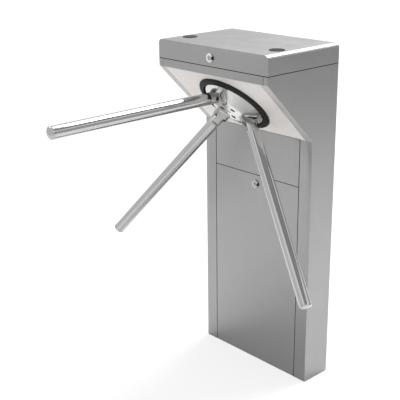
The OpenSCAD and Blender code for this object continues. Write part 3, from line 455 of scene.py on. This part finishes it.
def lensPlastic():
    # fine rings of a moulded lens: waves of the distance from whichever lens is nearer
    s = Shader("dark_lens")
    x, y, _ = s.split(s.place())
    spans = [((x - cx)**2.0 + (y - cy)**2.0)**0.5 for cx, cy in lensFinish["centres"]]
    near = spans[0].least(spans[1])
    rings = (near*(2*np.pi/lensFinish["pitch"])).wave()
    inside = near < lensFinish["reach"]
    dust = s.noise(s.place(), lensFinish["dust"], 3.0)
    return s.finish({"Base Color": s.blend(inside*rings, lensFinish["between"], lensFinish["crest"]),
                     "Roughness": s.spread(dust, 0.3, 0.7, *lensFinish["rough"]), "Specular IOR Level": 0.03,
                     "Normal": s.bump(rings*inside, 0.2, 0.0002)})


boardFinish = {"face": 0.0359, "relays": (0.40, 0.01), "strip": (0.328, 0.343), "cans": (0.42, 0.03),
               "tracks": (1100.0, 900.0), "wander": 0.01, "pads": (180.0, 0.22)}


def boardGreen():
    # copper tracks under green lacquer: a wavy grid of lines; the parts that stand on it are told apart by
    # height and side: blue relays, a green terminal strip, grey cans, and black for the rest
    s = Shader("circuit_board")
    x, y, z = s.split(s.place())
    wander = s.noise(s.place(), 60.0, 1.0)*boardFinish["wander"]
    across = ((x + wander)*boardFinish["tracks"][0]).math("SINE")
    along = ((z + wander)*boardFinish["tracks"][1]).math("SINE")
    tracks = s.spread(across.most(along), 0.55, 0.75)
    pads = s.cells(boardFinish["pads"][0]) < boardFinish["pads"][1]
    green = s.blend(tracks, (0.010, 0.085, 0.030), (0.024, 0.160, 0.060))
    face = s.blend(pads*0.8, green, (0.42, 0.42, 0.40))
    onTop = y < boardFinish["face"]
    relay = onTop*(z > boardFinish["relays"][0])*(x < boardFinish["relays"][1])
    strip = onTop*(z > boardFinish["strip"][0])*(z < boardFinish["strip"][1])
    cans = onTop*(z > boardFinish["cans"][0])*(x > boardFinish["cans"][1])
    body = s.blend(relay, (0.018, 0.018, 0.018), (0.030, 0.060, 0.150))
    body = s.blend(strip, body, (0.045, 0.200, 0.085))
    body = s.blend(cans, body, (0.36, 0.37, 0.40))
    grain = s.noise(s.place(), 1500.0, 2.0)
    return s.finish({"Base Color": s.blend(onTop, face, body),
                     "Roughness": s.spread(grain, 0.3, 0.7, 0.28, 0.5),
                     "Normal": s.bump(tracks*(1 - onTop) + grain*0.3, 0.2, 0.0002)})


coilFinish = {"centre": (0.110, 0.0), "turns": 150.0, "plate": 0.0728, "tape": (9.0, 60.0, 0.55)}


def woundCoil():
    # lacquered wire: fine waves of the angle about the coil's middle, under bands of yellowed tape
    s = Shader("wound_coil")
    x, y, z = s.split(s.place())
    angle = (y - coilFinish["centre"][1]).math("ARCTAN2", x - coilFinish["centre"][0])
    wire = (angle*coilFinish["turns"]).wave()
    tape = (angle*coilFinish["tape"][0] + z*coilFinish["tape"][1]).math("SINE") > coilFinish["tape"][2]
    copper = s.blend(wire, (0.20, 0.055, 0.020), (0.50, 0.18, 0.07))
    wound = s.blend(tape*0.85, copper, (0.42, 0.33, 0.10))
    metal = z > coilFinish["plate"]
    grain = s.noise(s.place(), 700.0, 3.0)
    return s.finish({"Base Color": s.blend(metal, wound, (0.42, 0.42, 0.43)), "Metallic": metal*0.95,
                     "Roughness": s.spread(grain, 0.3, 0.7, 0.3, 0.48),
                     "Normal": s.bump(wire*(1 - metal) + grain*0.2, 0.3, 0.0004)})


lensBlack = lensPlastic()
finishes["circuit_board"] = boardGreen()
finishes["wound_coil"] = woundCoil()
finishes["brushed_upright"] = brushedUpright
print("finishes ready:", len(bpy.data.materials))


# CAD nodes whose shape stays take a finish; hidden ones take theirs too, for views with a panel open

plainNodes = {
    "galvanised_steel": ["frame_tubes", "mechanism_plate", "mechanism_back_plate", "solenoid_brackets",
                         "base_plate"],
    "machined_alloy": ["bearing_housing", "plate_pillars"],
    "machined_steel": ["pawl_posts", "index_disc", "drive_gear", "shaft_nut", "main_shaft", "damper_pinion"],
    "ground_steel": ["bearing_outer_races", "bearing_inner_races", "bearing_balls", "entry_plunger",
                     "exit_plunger", "drop_release_rod", "lid_hinge_pins"],
    "blackened_steel": ["mechanism_screws", "encoder_disc"],
    "moulded_black": ["locking_solenoids", "damper_body", "optical_sensor", "drop_solenoid"],
    "spring_wire": ["pawl_springs"],
    "turned_brass": ["entry_pawl", "exit_pawl"],
    "circuit_board": ["control_board", "indicator_boards"],
    "wound_coil": ["transformer"],
    "brushed_upright": ["rear_panel"],
}
for finish, members in plainNodes.items():
    for member in members:
        nodes[member].data.materials.clear()
        nodes[member].data.materials.append(finishes[finish])
print("finishes put on", sum(map(len, plainNodes.values())), "CAD nodes")


# Sheet metal: the CAD panels with their bends and cut edges rounded

sheetEdges = {"bend": 0.0013, "cut": 0.0005, "door": 0.00022, "seams": (0.9460, 0.9468, 0.9445)}
sheets = [("left_side_panel", brushedSide, "bend"), ("right_side_panel", brushedSide, "bend"),
          ("upper_front_panel", brushedUpright, "door"), ("service_door", brushedUpright, "door"),
          ("slanted_face_plate", brushedPale, "cut"), ("fascia", brushedAcross, "cut"),
          ("lid", brushedAcross, "bend")]
for member, finish, edge in sheets:
    softened(member, finish, sheetEdges[edge], sheetEdges["seams"])
print("panels rounded")

# Small fittings that keep their CAD shape, with the sharpness taken off
fittings = [("lid_lock_barrel", chrome, 0.0012), ("lid_lock_plug", finishes["ground_steel"], 0.0003),
            ("door_lock_barrel", finishes["ground_steel"], 0.0012),
            ("door_lock_plug", finishes["machined_steel"], 0.0003),
            ("lower_hinge_leaves", finishes["ground_steel"], 0.0005),
            ("upper_hinge_leaves", finishes["ground_steel"], 0.0005),
            ("hub_screws", finishes["black_oxide"], 0.0005), ("arm_pins", finishes["black_oxide"], 0.0004)]
for member, finish, width in fittings:
    softened(member, finish, width)
print("fittings rounded")


# Painted shade on each lock's collar: a dark strip over its rim and down its side, where the collar is shaded

lock = {"spots": (("lid", 0.0, -0.230, 0.9704), ("door", 0.0, -0.050, 0.576)), "from": 0.0080,
        "collar": 0.0120, "proud": 0.0040, "thick": 0.0003, "half": 24.0, "steps": 13, "smooth": 30}


def lockShade(x, y, z):
    # a bent strip over the collar's rim: its section in radius and height is swept through a short angle
    inner, outer, high, t = lock["from"], lock["collar"], lock["proud"], lock["thick"]
    section = np.array([(inner, high - t), (inner + t, high + t), (outer - t, high + t), (outer + t, high - t),
                        (outer + t, t), (outer - t, t), (outer - t, high - 2*t)])
    a = np.radians(np.linspace(-lock["half"], lock["half"], lock["steps"]))[None]
    r, h = section[:, :1], section[:, 1:]
    pts = np.stack([x + r*np.cos(a), y - h + 0*a, z + r*np.sin(a)], -1)
    rows, columns = len(section), lock["steps"]
    k = np.arange(rows*columns).reshape(rows, columns)
    following = np.roll(k, -1, 0)
    quads = np.stack([k[:, :-1], k[:, 1:], following[:, 1:], following[:, :-1]], -1).reshape(-1, 4)
    return pts.reshape(-1, 3), quads.tolist() + [k[:, 0].tolist(), k[::-1, -1].tolist()]


for name, x, y, z in lock["spots"]:
    # painted shade: a black strip on the collar
    pts, faces = lockShade(x, y, z)
    node = name + "_lock_barrel"
    addPiece(name + "_lock_shade", pts, faces, bodyOf(node), slotOf(node), finishes["moulded_black"],
             lock["smooth"])
print("lock marks made")


# The hub's frame: rows are its X, its Y up the slope and its Z outwards along the axis

hub = {"centre": (0.0, -0.13823, 0.83173), "slope": 45.0, "apex": 0.0405, "outer": 0.093, "rim": 0.005,
       "flat": 0.048, "height": 0.029, "back": 0.004, "shoulder": 0.004, "fillet": 0.0035, "around": 480,
       "bore": (0.0054, 0.0006, 0.012), "frontFrom": -0.001, "smooth": 40}
boss = {"turns": (90, 210, 330), "half": 0.0198, "roof": 0.0262, "face": 0.0917, "edge": 0.0026,
        "edgeShare": 0.96, "steepness": 9, "leastRoof": 1e-8, "nowhere": -1.0, "stands": 0.0004}
well = {"turns": (30, 150, 270), "circle": 0.025, "radius": 0.0070, "lip": 0.0005, "wall": 0.0009,
        "sink": 0.0100, "shadePast": 0.0002, "shadeFrom": 0.012}
hubOrigin = np.array(hub["centre"])
hubAxes = np.array([[1, 0, 0], turned((0, 1, 0), (1, 0, 0), 180 - hub["slope"]),
                    turned((0, 0, 1), (1, 0, 0), 180 - hub["slope"])])

# from, to and count of the hub's rows of points, closer together over the screw wells and the bosses
hubRows = [(0.0006, 0.0080, 12), (0.0085, 0.0165, 12), (0.0170, 0.0340, 44), (0.0348, 0.0700, 46),
           (0.0712, hub["outer"] - 0.0012, 22)]
# radius of the rows that follow, and their step from the last one's height; None is the hub's back
hubRimRows = [(hub["outer"] - 0.0004, -0.0005), (hub["outer"], -0.0012), (hub["outer"], None),
              (hub["outer"] - 0.006, None), (0.034, None), (0.0062, None), (0.0052, None)]


def fromHub(points):
    # local coordinates along the hub's three axes to the object's frame
    return hubOrigin + np.asarray(points)@hubAxes


def armFrame(number):
    # an arm leaves the apex at 45 degrees to the hub's axis; its X lies along its fold pin
    z = hubAxes[2]
    out = turned(hubAxes[1], z, 120*(number - 1))
    pin = turned(hubAxes[0], z, 120*(number - 1))
    return hubOrigin - hub["apex"]*z, np.array([pin, np.cross(unit(out + z), pin), unit(out + z)])


def softMax(a, b, k):
    # the larger of two heights, with the inner corner filled over a width k
    h = np.clip(0.5 + 0.5*(a - b)/k, 0, 1)
    return b + (a - b)*h + k*h*(1 - h)


def softMin(a, b, k):
    return -softMax(-a, -b, k)


def coneHeight(r):
    # straight from the rim up to the flat, with the corner between them rounded
    slope = (hub["height"] - hub["rim"])/(hub["outer"] - hub["flat"])
    return softMin(hub["rim"] + (hub["outer"] - r)*slope, hub["height"] + 0*r, hub["shoulder"])


def bossHeight(r, t, turn):
    # a bar along the arm, cut off square: the lower of its rounded roof, along - apex + sqrt(2 (R^2 - side^2)),
    # and its face, face sqrt 2 - apex - along; a round edge, then a steep drop past its flat sides
    along, side = r*np.cos(t - radians(turn)), r*np.sin(t - radians(turn))
    roof = along - hub["apex"] + (2*np.clip(boss["roof"]**2 - side**2, boss["leastRoof"], 1))**0.5
    face = boss["face"]*2**0.5 - hub["apex"] - along
    edge, past = boss["edge"], np.abs(side) - boss["half"]
    lip = np.clip(past + edge, 0, edge)
    height = softMin(roof, face, edge) - (edge - np.sqrt(edge**2 - lip**2*boss["edgeShare"]))
    return np.where(along > 0, height - np.clip(past, 0, 1)*boss["steepness"], boss["nowhere"])


def fromScrew(r, t, turn):
    # distance from a screw's middle
    return np.hypot(r*np.cos(t) - well["circle"]*np.cos(radians(turn)),
                    r*np.sin(t) - well["circle"]*np.sin(radians(turn)))


def hubHeight(r, t):
    # the largest of cone and bosses, with cast fillets between them; the screw wells are sunk in it by a
    # smooth step, 3 u^2 - 2 u^3, and the middle by a straight one
    height = coneHeight(r)
    for turn in boss["turns"]:
        height = softMax(height, bossHeight(r, t, turn), hub["fillet"])
    for turn in well["turns"]:
        u = np.clip((well["radius"] + well["lip"] - fromScrew(r, t, turn))/well["wall"], 0, 1)
        height = height - well["sink"]*u*u*(3 - 2*u)
    radius, wall, deep = hub["bore"]
    return height - deep*np.clip((radius - r)/wall, 0, 1)


def hubShell():
    # height over polar rows from the middle out to the rim, then rows down the rim and in along the back
    r = np.concatenate([np.linspace(*span) for span in hubRows])[:, None]
    t = np.linspace(0, 2*np.pi, hub["around"], endpoint=False)[None]
    z = hubHeight(r, t)
    rimZ = z[-1:].copy()
    radii, rows = [r + 0*t], [z]
    for radius, drop in hubRimRows:
        radii.append(radius + 0*t)
        rows.append(rimZ + drop if drop is not None else -hub["back"] + 0*t)
    radii, rows = np.vstack(radii), np.vstack(rows)
    pts = fromHub(np.stack([radii*np.cos(t), radii*np.sin(t), rows], -1))
    # closing the rows joins the last to the first, which is the wall of the hole through the middle
    return pts, gridFaces(len(radii), hub["around"], closeRows=True)


def milledFaces(mesh):
    # 1 where a boss stands above the cone, which is milled and duller; 2 in the screw wells, which take black as
    # painted shade
    middle = np.zeros(len(mesh.polygons)*3)
    mesh.polygons.foreach_get("center", middle)
    x, y, z = ((middle.reshape(-1, 3) - hubOrigin)@hubAxes.T).T
    r, t = np.hypot(x, y), np.arctan2(y, x)
    onBoss = np.max([bossHeight(r, t, turn) for turn in boss["turns"]], 0) > coneHeight(r) + boss["stands"]
    # painted shade: faces in the screw wells take black
    inWell = np.min([fromScrew(r, t, turn) for turn in well["turns"]], 0) < well["radius"] + well["shadePast"]
    return np.where(inWell & (z > well["shadeFrom"]), 2, onBoss & (z > hub["frontFrom"])).astype(np.int32)


tongue = {"half": 0.010, "high": 0.0124, "from": 0.080, "tip": 0.1223, "edge": 0.0006, "smooth": 30}


def tongueOutline():
    # seen along the fold pin: a plain bar from inside the boss to past the pin
    high, low, top = tongue["high"], tongue["from"], tongue["tip"]
    return np.array([(high, low), (high, top), (-high, top), (-high, low)])


lug = {"inner": 0.0174, "outer": 0.0204, "radius": 0.0215, "rootNear": 0.060, "rootFar": 0.081, "turn": 0.086,
       "edge": 0.0013, "steps": 28, "smooth": 30}


def lugOutline():
    # a ground plate on each side of a boss: straight out of the cone, then half round beside the fork
    t = np.linspace(0, np.pi, lug["steps"])
    bend = lug["radius"]*np.stack([np.cos(t), np.sin(t)], 1) + [0, lug["turn"]]
    return np.vstack([(lug["radius"], lug["rootFar"]), bend, (-lug["radius"], lug["rootNear"])])


def softPrism(outline, half, edge, steps=4):
    # a flat outline given thickness along X; near each end x = half - edge + edge sin a, and the outline is
    # drawn towards its middle by edge (1 - cos a)
    middle = outline.mean(0)
    reach = np.linalg.norm(outline - middle, axis=1, keepdims=True)
    a = np.linspace(0, np.pi/2, steps)
    a = np.concatenate([a[::-1], a])[:, None, None]
    side = np.repeat([-1, 1], steps)[:, None, None]
    flat = middle + (outline - middle)*(1 - edge*(1 - np.cos(a))/reach)
    x = side*(half - edge + edge*np.sin(a))
    rows, columns = flat.shape[:2]
    pts = np.concatenate([np.broadcast_to(x, (rows, columns, 1)), flat], -1)
    k = np.arange(rows*columns).reshape(rows, columns)
    return pts.reshape(-1, 3), gridFaces(rows, columns).tolist() + [k[0].tolist(), k[-1, ::-1].tolist()]


castSlot = slotOf("hub_casting")
hubPoints, hubFaces = hubShell()
shell = addPiece("hub_shell", hubPoints, hubFaces, "hub", castSlot, hubCast, hub["smooth"],
                 replaced=("hub_casting",))
shell.data.materials.append(jointCast)
# the black of the screw wells is painted shade in the recesses
shell.data.materials.append(finishes["black_oxide"])
shell.data.polygons.foreach_set("material_index", milledFaces(shell.data))
for number in (1, 2, 3):
    origin, rows = armFrame(number)
    pts, faces = softPrism(tongueOutline(), tongue["half"], tongue["edge"])
    addPiece("hub_tongue_%d" % number, origin + pts@rows, faces, "hub", castSlot, jointCast, tongue["smooth"])
    for side, label in ((-1, "left"), (1, "right")):
        pts, faces = softPrism(lugOutline(), (lug["outer"] - lug["inner"])/2, lug["edge"])
        pts[:, 0] += side*(lug["outer"] + lug["inner"])/2
        addPiece("hub_lug_%d_%s" % (number, label), origin + pts@rows, faces, "hub", castSlot, lugCast,
                 lug["smooth"])
print("hub made")


# Trim ring: a rounded rubber section carried round the hub's axis

ring = {"around": 160, "smooth": 40,
        "section": [(0.0950, 0.0000, 0), (0.0950, 0.0090, 0.0012), (0.0990, 0.0090, 0.0030),
                    (0.1080, 0.0070, 0.0030), (0.1120, 0.0020, 0.0012), (0.1120, 0.0000, 0.0004),
                    (0.0990, 0.0000, 0), (0.0990, -0.0060, 0.0006), (0.0950, -0.0060, 0.0006),
                    (0.0950, 0.0000, 0)]}
section = roundedProfile(ring["section"])[:-1]
pts, along, around = revolved(section, ring["around"])
addPiece("ring_trim", fromHub(pts), gridFaces(len(section), ring["around"], closeRows=True), "cabinet",
         slotOf("trim_ring"), finishes["ring_black"], ring["smooth"], replaced=("trim_ring",))
print("ring made")


# Arms: tube, domed cap and fork; tube and cap are a profile carried round the arm's axis

arm = {"around": 112, "rows": 40, "radius": 0.0165, "wall": 0.0012, "from": 0.129498, "reach": 0.6345,
       "bevel": 0.0003, "tipBevel": 0.0002, "forkEdge": 0.0011, "smooth": 40}
cap = {"high": 0.008, "lip": 0.0004, "edge": 0.0030, "power": 0.75, "steps": 18, "spigot": 0.008,
       "spigotGap": 0.00002, "bevel": 0.0003}


def tubeProfile():
    # up the outside, over the bevelled end, and back down the bore
    end = arm["reach"] - cap["high"]
    inner = arm["radius"] - arm["wall"]
    outer = np.linspace(arm["from"] + arm["bevel"], end - arm["tipBevel"], arm["rows"])
    bore = np.linspace(end, arm["from"], arm["rows"])
    return np.vstack([[[arm["radius"] - arm["bevel"], arm["from"]]],
                      np.stack([np.full(arm["rows"], arm["radius"]), outer], 1),
                      np.stack([np.full(arm["rows"], inner), bore], 1)])


def capProfile():
    # the spigot in the tube, the bevelled lip, a straight edge, then the dome to the pole: radius
    # r cos(a)^power, height edge + (high - edge) sin a
    r, base = arm["radius"] + cap["lip"], arm["reach"] - cap["high"]
    a = np.linspace(0, np.pi/2, cap["steps"])
    dome = np.stack([r*np.cos(a)**cap["power"], base + cap["edge"] + (cap["high"] - cap["edge"])*np.sin(a)], 1)
    dome[-1, 0] = 0
    inner = arm["radius"] - arm["wall"] - cap["spigotGap"]
    under = [[0, base - cap["spigot"]], [inner, base - cap["spigot"]], [inner, base], [r - cap["bevel"], base],
             [r, base + cap["bevel"]]]
    return np.vstack([under, dome])


def turnedPiece(name, number, profile, closed, node, material):
    origin, rows = armFrame(number)
    pts, along, around = revolved(profile, arm["around"])
    # UV: once round the arm, and metres along its profile
    uv = np.stack(np.broadcast_arrays(around[None]/(2*np.pi), along[:, None]), -1)
    faces = gridFaces(len(profile), arm["around"], closeRows=closed)
    return addPiece(name, origin + pts.reshape(-1, 3)@rows, faces, "arm_%d" % number, slotOf(node), material,
                    arm["smooth"], uv, (node,))


for number in (1, 2, 3):
    turnedPiece("arm_%d_polished_tube" % number, number, tubeProfile(), True, "arm_%d_tube" % number,
                tubeSteel)
    turnedPiece("arm_%d_domed_cap" % number, number, capProfile(), False, "arm_%d_end_cap" % number,
                tubeSteel)
    softened("arm_%d_fork" % number, forkCast, arm["forkEdge"])
print("arms made")


# Lens covers: a flat rim, a groove, and a low dome

lens = {"radius": 0.021, "body": 0.01898, "proud": 0.0012, "deep": 0.0045, "top": 1.0, "back": -0.150,
        "x": 0.166, "around": 96, "dome": 0.0165, "rows": 14, "crown": 0.38, "groove": (0.0166, 0.0172, 0.0006),
        "rim": 0.0176, "fillets": (0.0002, 0.0003, 0.0007), "smooth": 35}


def lensProfile():
    # the dome, proud (1 - crown (r/R)^2), from its pole out to the groove, over the rim and down the body to a
    # flat back
    r = np.linspace(0, lens["dome"], lens["rows"])
    share = 1 - lens["crown"] + lens["crown"]*(1 - (r/lens["dome"])**2)
    dome = np.stack([r, lens["proud"]*share], 1)
    inner, outer, low = lens["groove"]
    rim = roundedProfile([(inner, low, 0), (outer, low, lens["fillets"][0]),
                          (lens["rim"], lens["proud"], lens["fillets"][1]),
                          (lens["radius"], lens["proud"], lens["fillets"][2]), (lens["radius"], 0.0, 0)], 5)
    body = [[lens["body"], 0.0], [lens["body"], -lens["deep"]], [0, -lens["deep"]]]
    return np.vstack([dome, rim, body])


for side, x in (("left", -lens["x"]), ("right", lens["x"])):
    profile = lensProfile()
    pts, along, around = revolved(profile, lens["around"])
    addPiece("lens_" + side, pts.reshape(-1, 3) + [x, lens["back"], lens["top"]],
             gridFaces(len(profile), lens["around"]), bodyOf("indicator_lenses"), slotOf("indicator_lenses"),
             lensBlack, lens["smooth"], replaced=("indicator_lenses",))
print("lenses made")


# Black foam seals in the seam under the lid and round the service door, dark enough to stand in for the seams'
# shade as well: a square-sectioned band along a rectangle

lidSeal = {"x": (-0.2096, 0.2096), "across": (-0.2296, 0.0495), "level": (0.9459, 0.94665), "inward": 0.0010}
doorSeal = {"x": (-0.1660, 0.1660), "across": (0.0020, 0.6047), "level": (-0.0497, -0.0497 + 0.0014),
            "inward": 0.0006}
sealSmooth = 30


def bandAround(seal, order):
    # four corner points, and the same ones moved inwards, at two levels: a closed square-sectioned loop. The
    # order puts x, across and level on the object's axes
    (x0, x1), (c0, c1), (low, high) = seal["x"], seal["across"], seal["level"]
    outer = np.array([(x0, c0), (x1, c0), (x1, c1), (x0, c1)])
    inner = outer + np.sign(outer.mean(0) - outer)*seal["inward"]
    rings = [(outer, low), (outer, high), (inner, high), (inner, low)]
    pts = np.stack([np.column_stack([flat, np.full(4, level)]) for flat, level in rings])
    return pts[..., order].reshape(-1, 3), gridFaces(4, 4, closeRows=True)


for name, seal, order in (("lid_seam_seal", lidSeal, [0, 1, 2]), ("door_seam_seal", doorSeal, [0, 2, 1])):
    pts, faces = bandAround(seal, order)
    addPiece(name, pts, faces, "cabinet", slotOf("trim_ring"), finishes["seal_foam_and_shade"], sealSmooth)
print("seals made")


# Screws of the hinge leaves and of the rear panel: a low dome with a cross recess

screw = {"radius": 0.0036, "dome": 0.0011, "power": 0.6, "sink": 0.0008, "cross": 0.00055, "arm": 0.0019,
         "crossWall": 0.0003, "armWall": 0.0004, "skirt": 0.0006, "around": 32, "rows": 12, "smooth": 30,
         "hingeX": (-0.130, 0.130), "leafX": (-0.019, 0.019), "leafFace": 0.0520,
         "rearX": (-0.196, 0.196), "rearZ": (0.050, 0.230, 0.410, 0.590, 0.770, 0.915), "rearFace": 0.0500}


def screwHeads(spots):
    # height over the face: dome (1 - (r/R)^2)^power less the recess inside a cross; a last row goes under the
    # face, and a fan to one point closes it
    r = np.linspace(0, 1, screw["rows"])[:, None]*screw["radius"]
    t = np.linspace(0, 2*np.pi, screw["around"], endpoint=False)[None]
    x, z = r*np.cos(t), r*np.sin(t)
    near, far = np.minimum(np.abs(x), np.abs(z)), np.maximum(np.abs(x), np.abs(z))
    recess = np.clip((screw["cross"] - near)/screw["crossWall"], 0, 1)
    recess = recess*np.clip((screw["arm"] - far)/screw["armWall"], 0, 1)
    h = screw["dome"]*(1 - (r/screw["radius"])**2)**screw["power"] + 0*t - screw["sink"]*recess
    flat = np.stack([x, h, z], -1).reshape(-1, 3)
    skirt = flat[-screw["around"]:] - [0, screw["skirt"], 0]
    one = np.vstack([flat, skirt, [[0, -screw["skirt"], 0]]])
    grid = gridFaces(screw["rows"] + 1, screw["around"])
    j = np.arange(screw["around"])
    start = screw["rows"]*screw["around"]
    fan = np.stack([start + j, start + (j + 1) % screw["around"], np.full_like(j, len(one) - 1)], 1)
    points, faces = [], []
    for count, spot in enumerate(spots):
        points.append(one + np.asarray(spot, float))
        faces += (grid + count*len(one)).tolist() + (fan + count*len(one)).tolist()
    return np.vstack(points), faces


for name, node, z in (("lower", "lower_hinge_leaves", 0.9300), ("upper", "upper_hinge_leaves", 0.9620)):
    spots = [(middle + x, screw["leafFace"], z) for middle in screw["hingeX"] for x in screw["leafX"]]
    pts, faces = screwHeads(spots)
    addPiece(name + "_leaf_screws", pts, faces, bodyOf(node), slotOf(node), chrome, screw["smooth"])
pts, faces = screwHeads([(x, screw["rearFace"], z) for x in screw["rearX"] for z in screw["rearZ"]])
addPiece("rear_panel_screws", pts, faces, "cabinet", slotOf("rear_panel"), chrome, screw["smooth"])
print("screws made")


# Camera, in the place and with the lens that the fit to the photograph gave

camera = {"place": (1.6470, -1.7811, 1.3657), "azimuth": 47.51, "elevation": 19.37, "roll": -0.72,
          "lens": 76.79, "sensor": 36, "far": 200}


def makeCamera():
    # its axes are the view's direction and the level right and up, turned by the roll
    az, el, roll = radians(camera["azimuth"]), radians(camera["elevation"]), radians(camera["roll"])
    ahead = np.array([-np.sin(az)*np.cos(el), np.cos(az)*np.cos(el), -np.sin(el)])
    level = np.array([np.cos(az), np.sin(az), 0])
    above = np.cross(level, ahead)
    right = np.cos(roll)*level + np.sin(roll)*above
    up = -np.sin(roll)*level + np.cos(roll)*above
    data = bpy.data.cameras.new("photo_camera")
    data.lens, data.sensor_width, data.clip_end = camera["lens"], camera["sensor"], camera["far"]
    made = bpy.data.objects.new("photo_camera", data)
    scene.collection.objects.link(made)
    spot = Matrix(np.stack([right, up, -ahead], 1).tolist()).to_4x4()
    spot.translation = camera["place"]
    made.matrix_world = spot
    scene.camera = made


makeCamera()


# Studio: a pale world, a large pale floor, soft lamps, and grey surroundings that only reflections see

studio = {"world": 0.66, "floor": (0.84, 0.84, 0.84), "glow": 0.55, "glowLevel": 1.20, "mirrored": 0.0,
          "floorHalf": 40.0, "sweep": (0.9, 1.9), "floorRough": 0.9}
wall = {"radius": 3.1, "high": 1.95, "tone": (0.515, 0.512, 0.512), "steps": 96, "bright": (-0.80, -0.60),
        "lift": 0.28, "from": -0.1, "to": 0.7}
ceiling = {"corners": ((0.1, -2.1), (2.2, -2.1), (2.4, 2.0), (1.0, 2.0), (0.8, 0.45), (0.1, 0.45)),
           "high": 2.6, "tone": (0.36, 0.36, 0.36)}
white = (1, 1, 1, 1)
# name, place, target, width and length in metres, watts
lamps = [("sky", (0.0, 1.745, 3.435), (0.0, -0.25, 0.85), (2.2, 1.72), 140.0),
         ("side", (3.0, -2.2, 3.0), (0.0, 0.0, 0.7), (1.6, 1.6), 22.0),
         ("left", (-3.0, -2.6, 2.4), (0.0, 0.0, 0.7), (1.8, 1.8), 26.0)]


def seenDirectly(s, mirrored=1.0):
    # 1 for rays from the camera and through glass, a share of it for mirrors, 0 for the light that falls on
    # things
    path = s.node("ShaderNodeLightPath").socket.node
    rays = [Wire(s, path.outputs[k]) for k in ("Is Camera Ray", "Is Glossy Ray", "Is Transmission Ray")]
    return rays[0].most(rays[1]*mirrored).most(rays[2])


def makeWorld():
    scene.world = bpy.data.worlds.new("studio_world")
    s = Shader("studio_world", scene.world)
    level = s.spread(seenDirectly(s), 0.0, 1.0, studio["world"], 1.0)
    s.out(s.node("ShaderNodeBackground", None, {"Color": white, "Strength": level}, "Background"),
          "ShaderNodeOutputWorld")


def stagePiece(name, points, faces, material, reflectedOnly=False):
    mesh = bpy.data.meshes.new(name)
    mesh.from_pydata(points, [], faces)
    mesh.materials.append(material)
    made = bpy.data.objects.new(name, mesh)
    scene.collection.objects.link(made)
    if reflectedOnly:
        made.visible_camera = made.visible_diffuse = made.visible_shadow = made.visible_transmission = False


def makeFloor():
    # matt for light and mirrors; to the camera partly white glow round the object, so that its shadow stays,
    # and all white further off, by the distance sqrt(x^2 + y^2), as a swept backdrop is
    s = Shader("studio_floor")
    x, y, _ = s.split(s.place())
    away = s.spread((x*x + y*y)**0.5, *studio["sweep"], studio["glow"], 1.0)
    paint = s.shades(s.noise(s.place(), 1.3, 2.0), studio["floor"], 0.985, 1.0)
    matt = s.principled({"Base Color": paint, "Roughness": studio["floorRough"], "Specular IOR Level": 0.0})
    glow = s.glow(white, studio["glowLevel"])
    s.out(s.node("ShaderNodeMixShader", None, {0: seenDirectly(s, studio["mirrored"])*away, 1: matt, 2: glow},
                 "Shader"))
    half = studio["floorHalf"]
    stagePiece("studio_floor", [(-half, -half, 0), (half, -half, 0), (half, half, 0), (-half, half, 0)],
               [(0, 1, 2, 3)], s.holder)


def makeLamps():
    for name, place, target, size, watts in lamps:
        data = bpy.data.lights.new(name + "_lamp", "AREA")
        data.shape, data.size, data.size_y, data.energy = "RECTANGLE", *size, watts
        made = bpy.data.objects.new(name + "_lamp", data)
        scene.collection.objects.link(made)
        made.location = place
        made.rotation_euler = (Vector(target) - Vector(place)).to_track_quat("-Z", "Y").to_euler()
        made.visible_camera = False


def makeWall():
    # a round wall, brighter towards one side by the share of a point that lies along the bright direction
    s = Shader("studio_wall")
    x, y, _ = s.split(s.place())
    drift = s.noise(s.place(), 0.7, 1.0)
    toward = (x*wall["bright"][0] + y*wall["bright"][1])*(1/wall["radius"])
    level = s.spread(toward, wall["from"], wall["to"], 1.0, 1.0 + wall["lift"]/wall["tone"][0])
    s.out(s.glow(s.shades(drift, wall["tone"], 0.95, 1.05), level))
    t = np.linspace(0, 2*np.pi, wall["steps"], endpoint=False)
    foot = np.stack([wall["radius"]*np.cos(t), wall["radius"]*np.sin(t), 0*t], 1)
    pts = np.vstack([foot, foot + [0, 0, wall["high"]]])
    stagePiece("studio_wall", pts.tolist(), gridFaces(2, wall["steps"]).tolist(), s.holder, True)


def makeCeiling():
    # a dark sheet with six corners, over the object's right
    s = Shader("studio_ceiling")
    s.out(s.glow(s.shades(s.noise(s.place(), 0.9, 1.0), ceiling["tone"], 0.9, 1.1), 1.0))
    corners = [(x, y, ceiling["high"]) for x, y in ceiling["corners"]]
    stagePiece("studio_ceiling", corners, [list(range(len(corners)))], s.holder, True)


makeWorld()
makeFloor()
makeLamps()
makeWall()
makeCeiling()
scene.view_settings.view_transform = "Standard"
print("camera and studio ready")
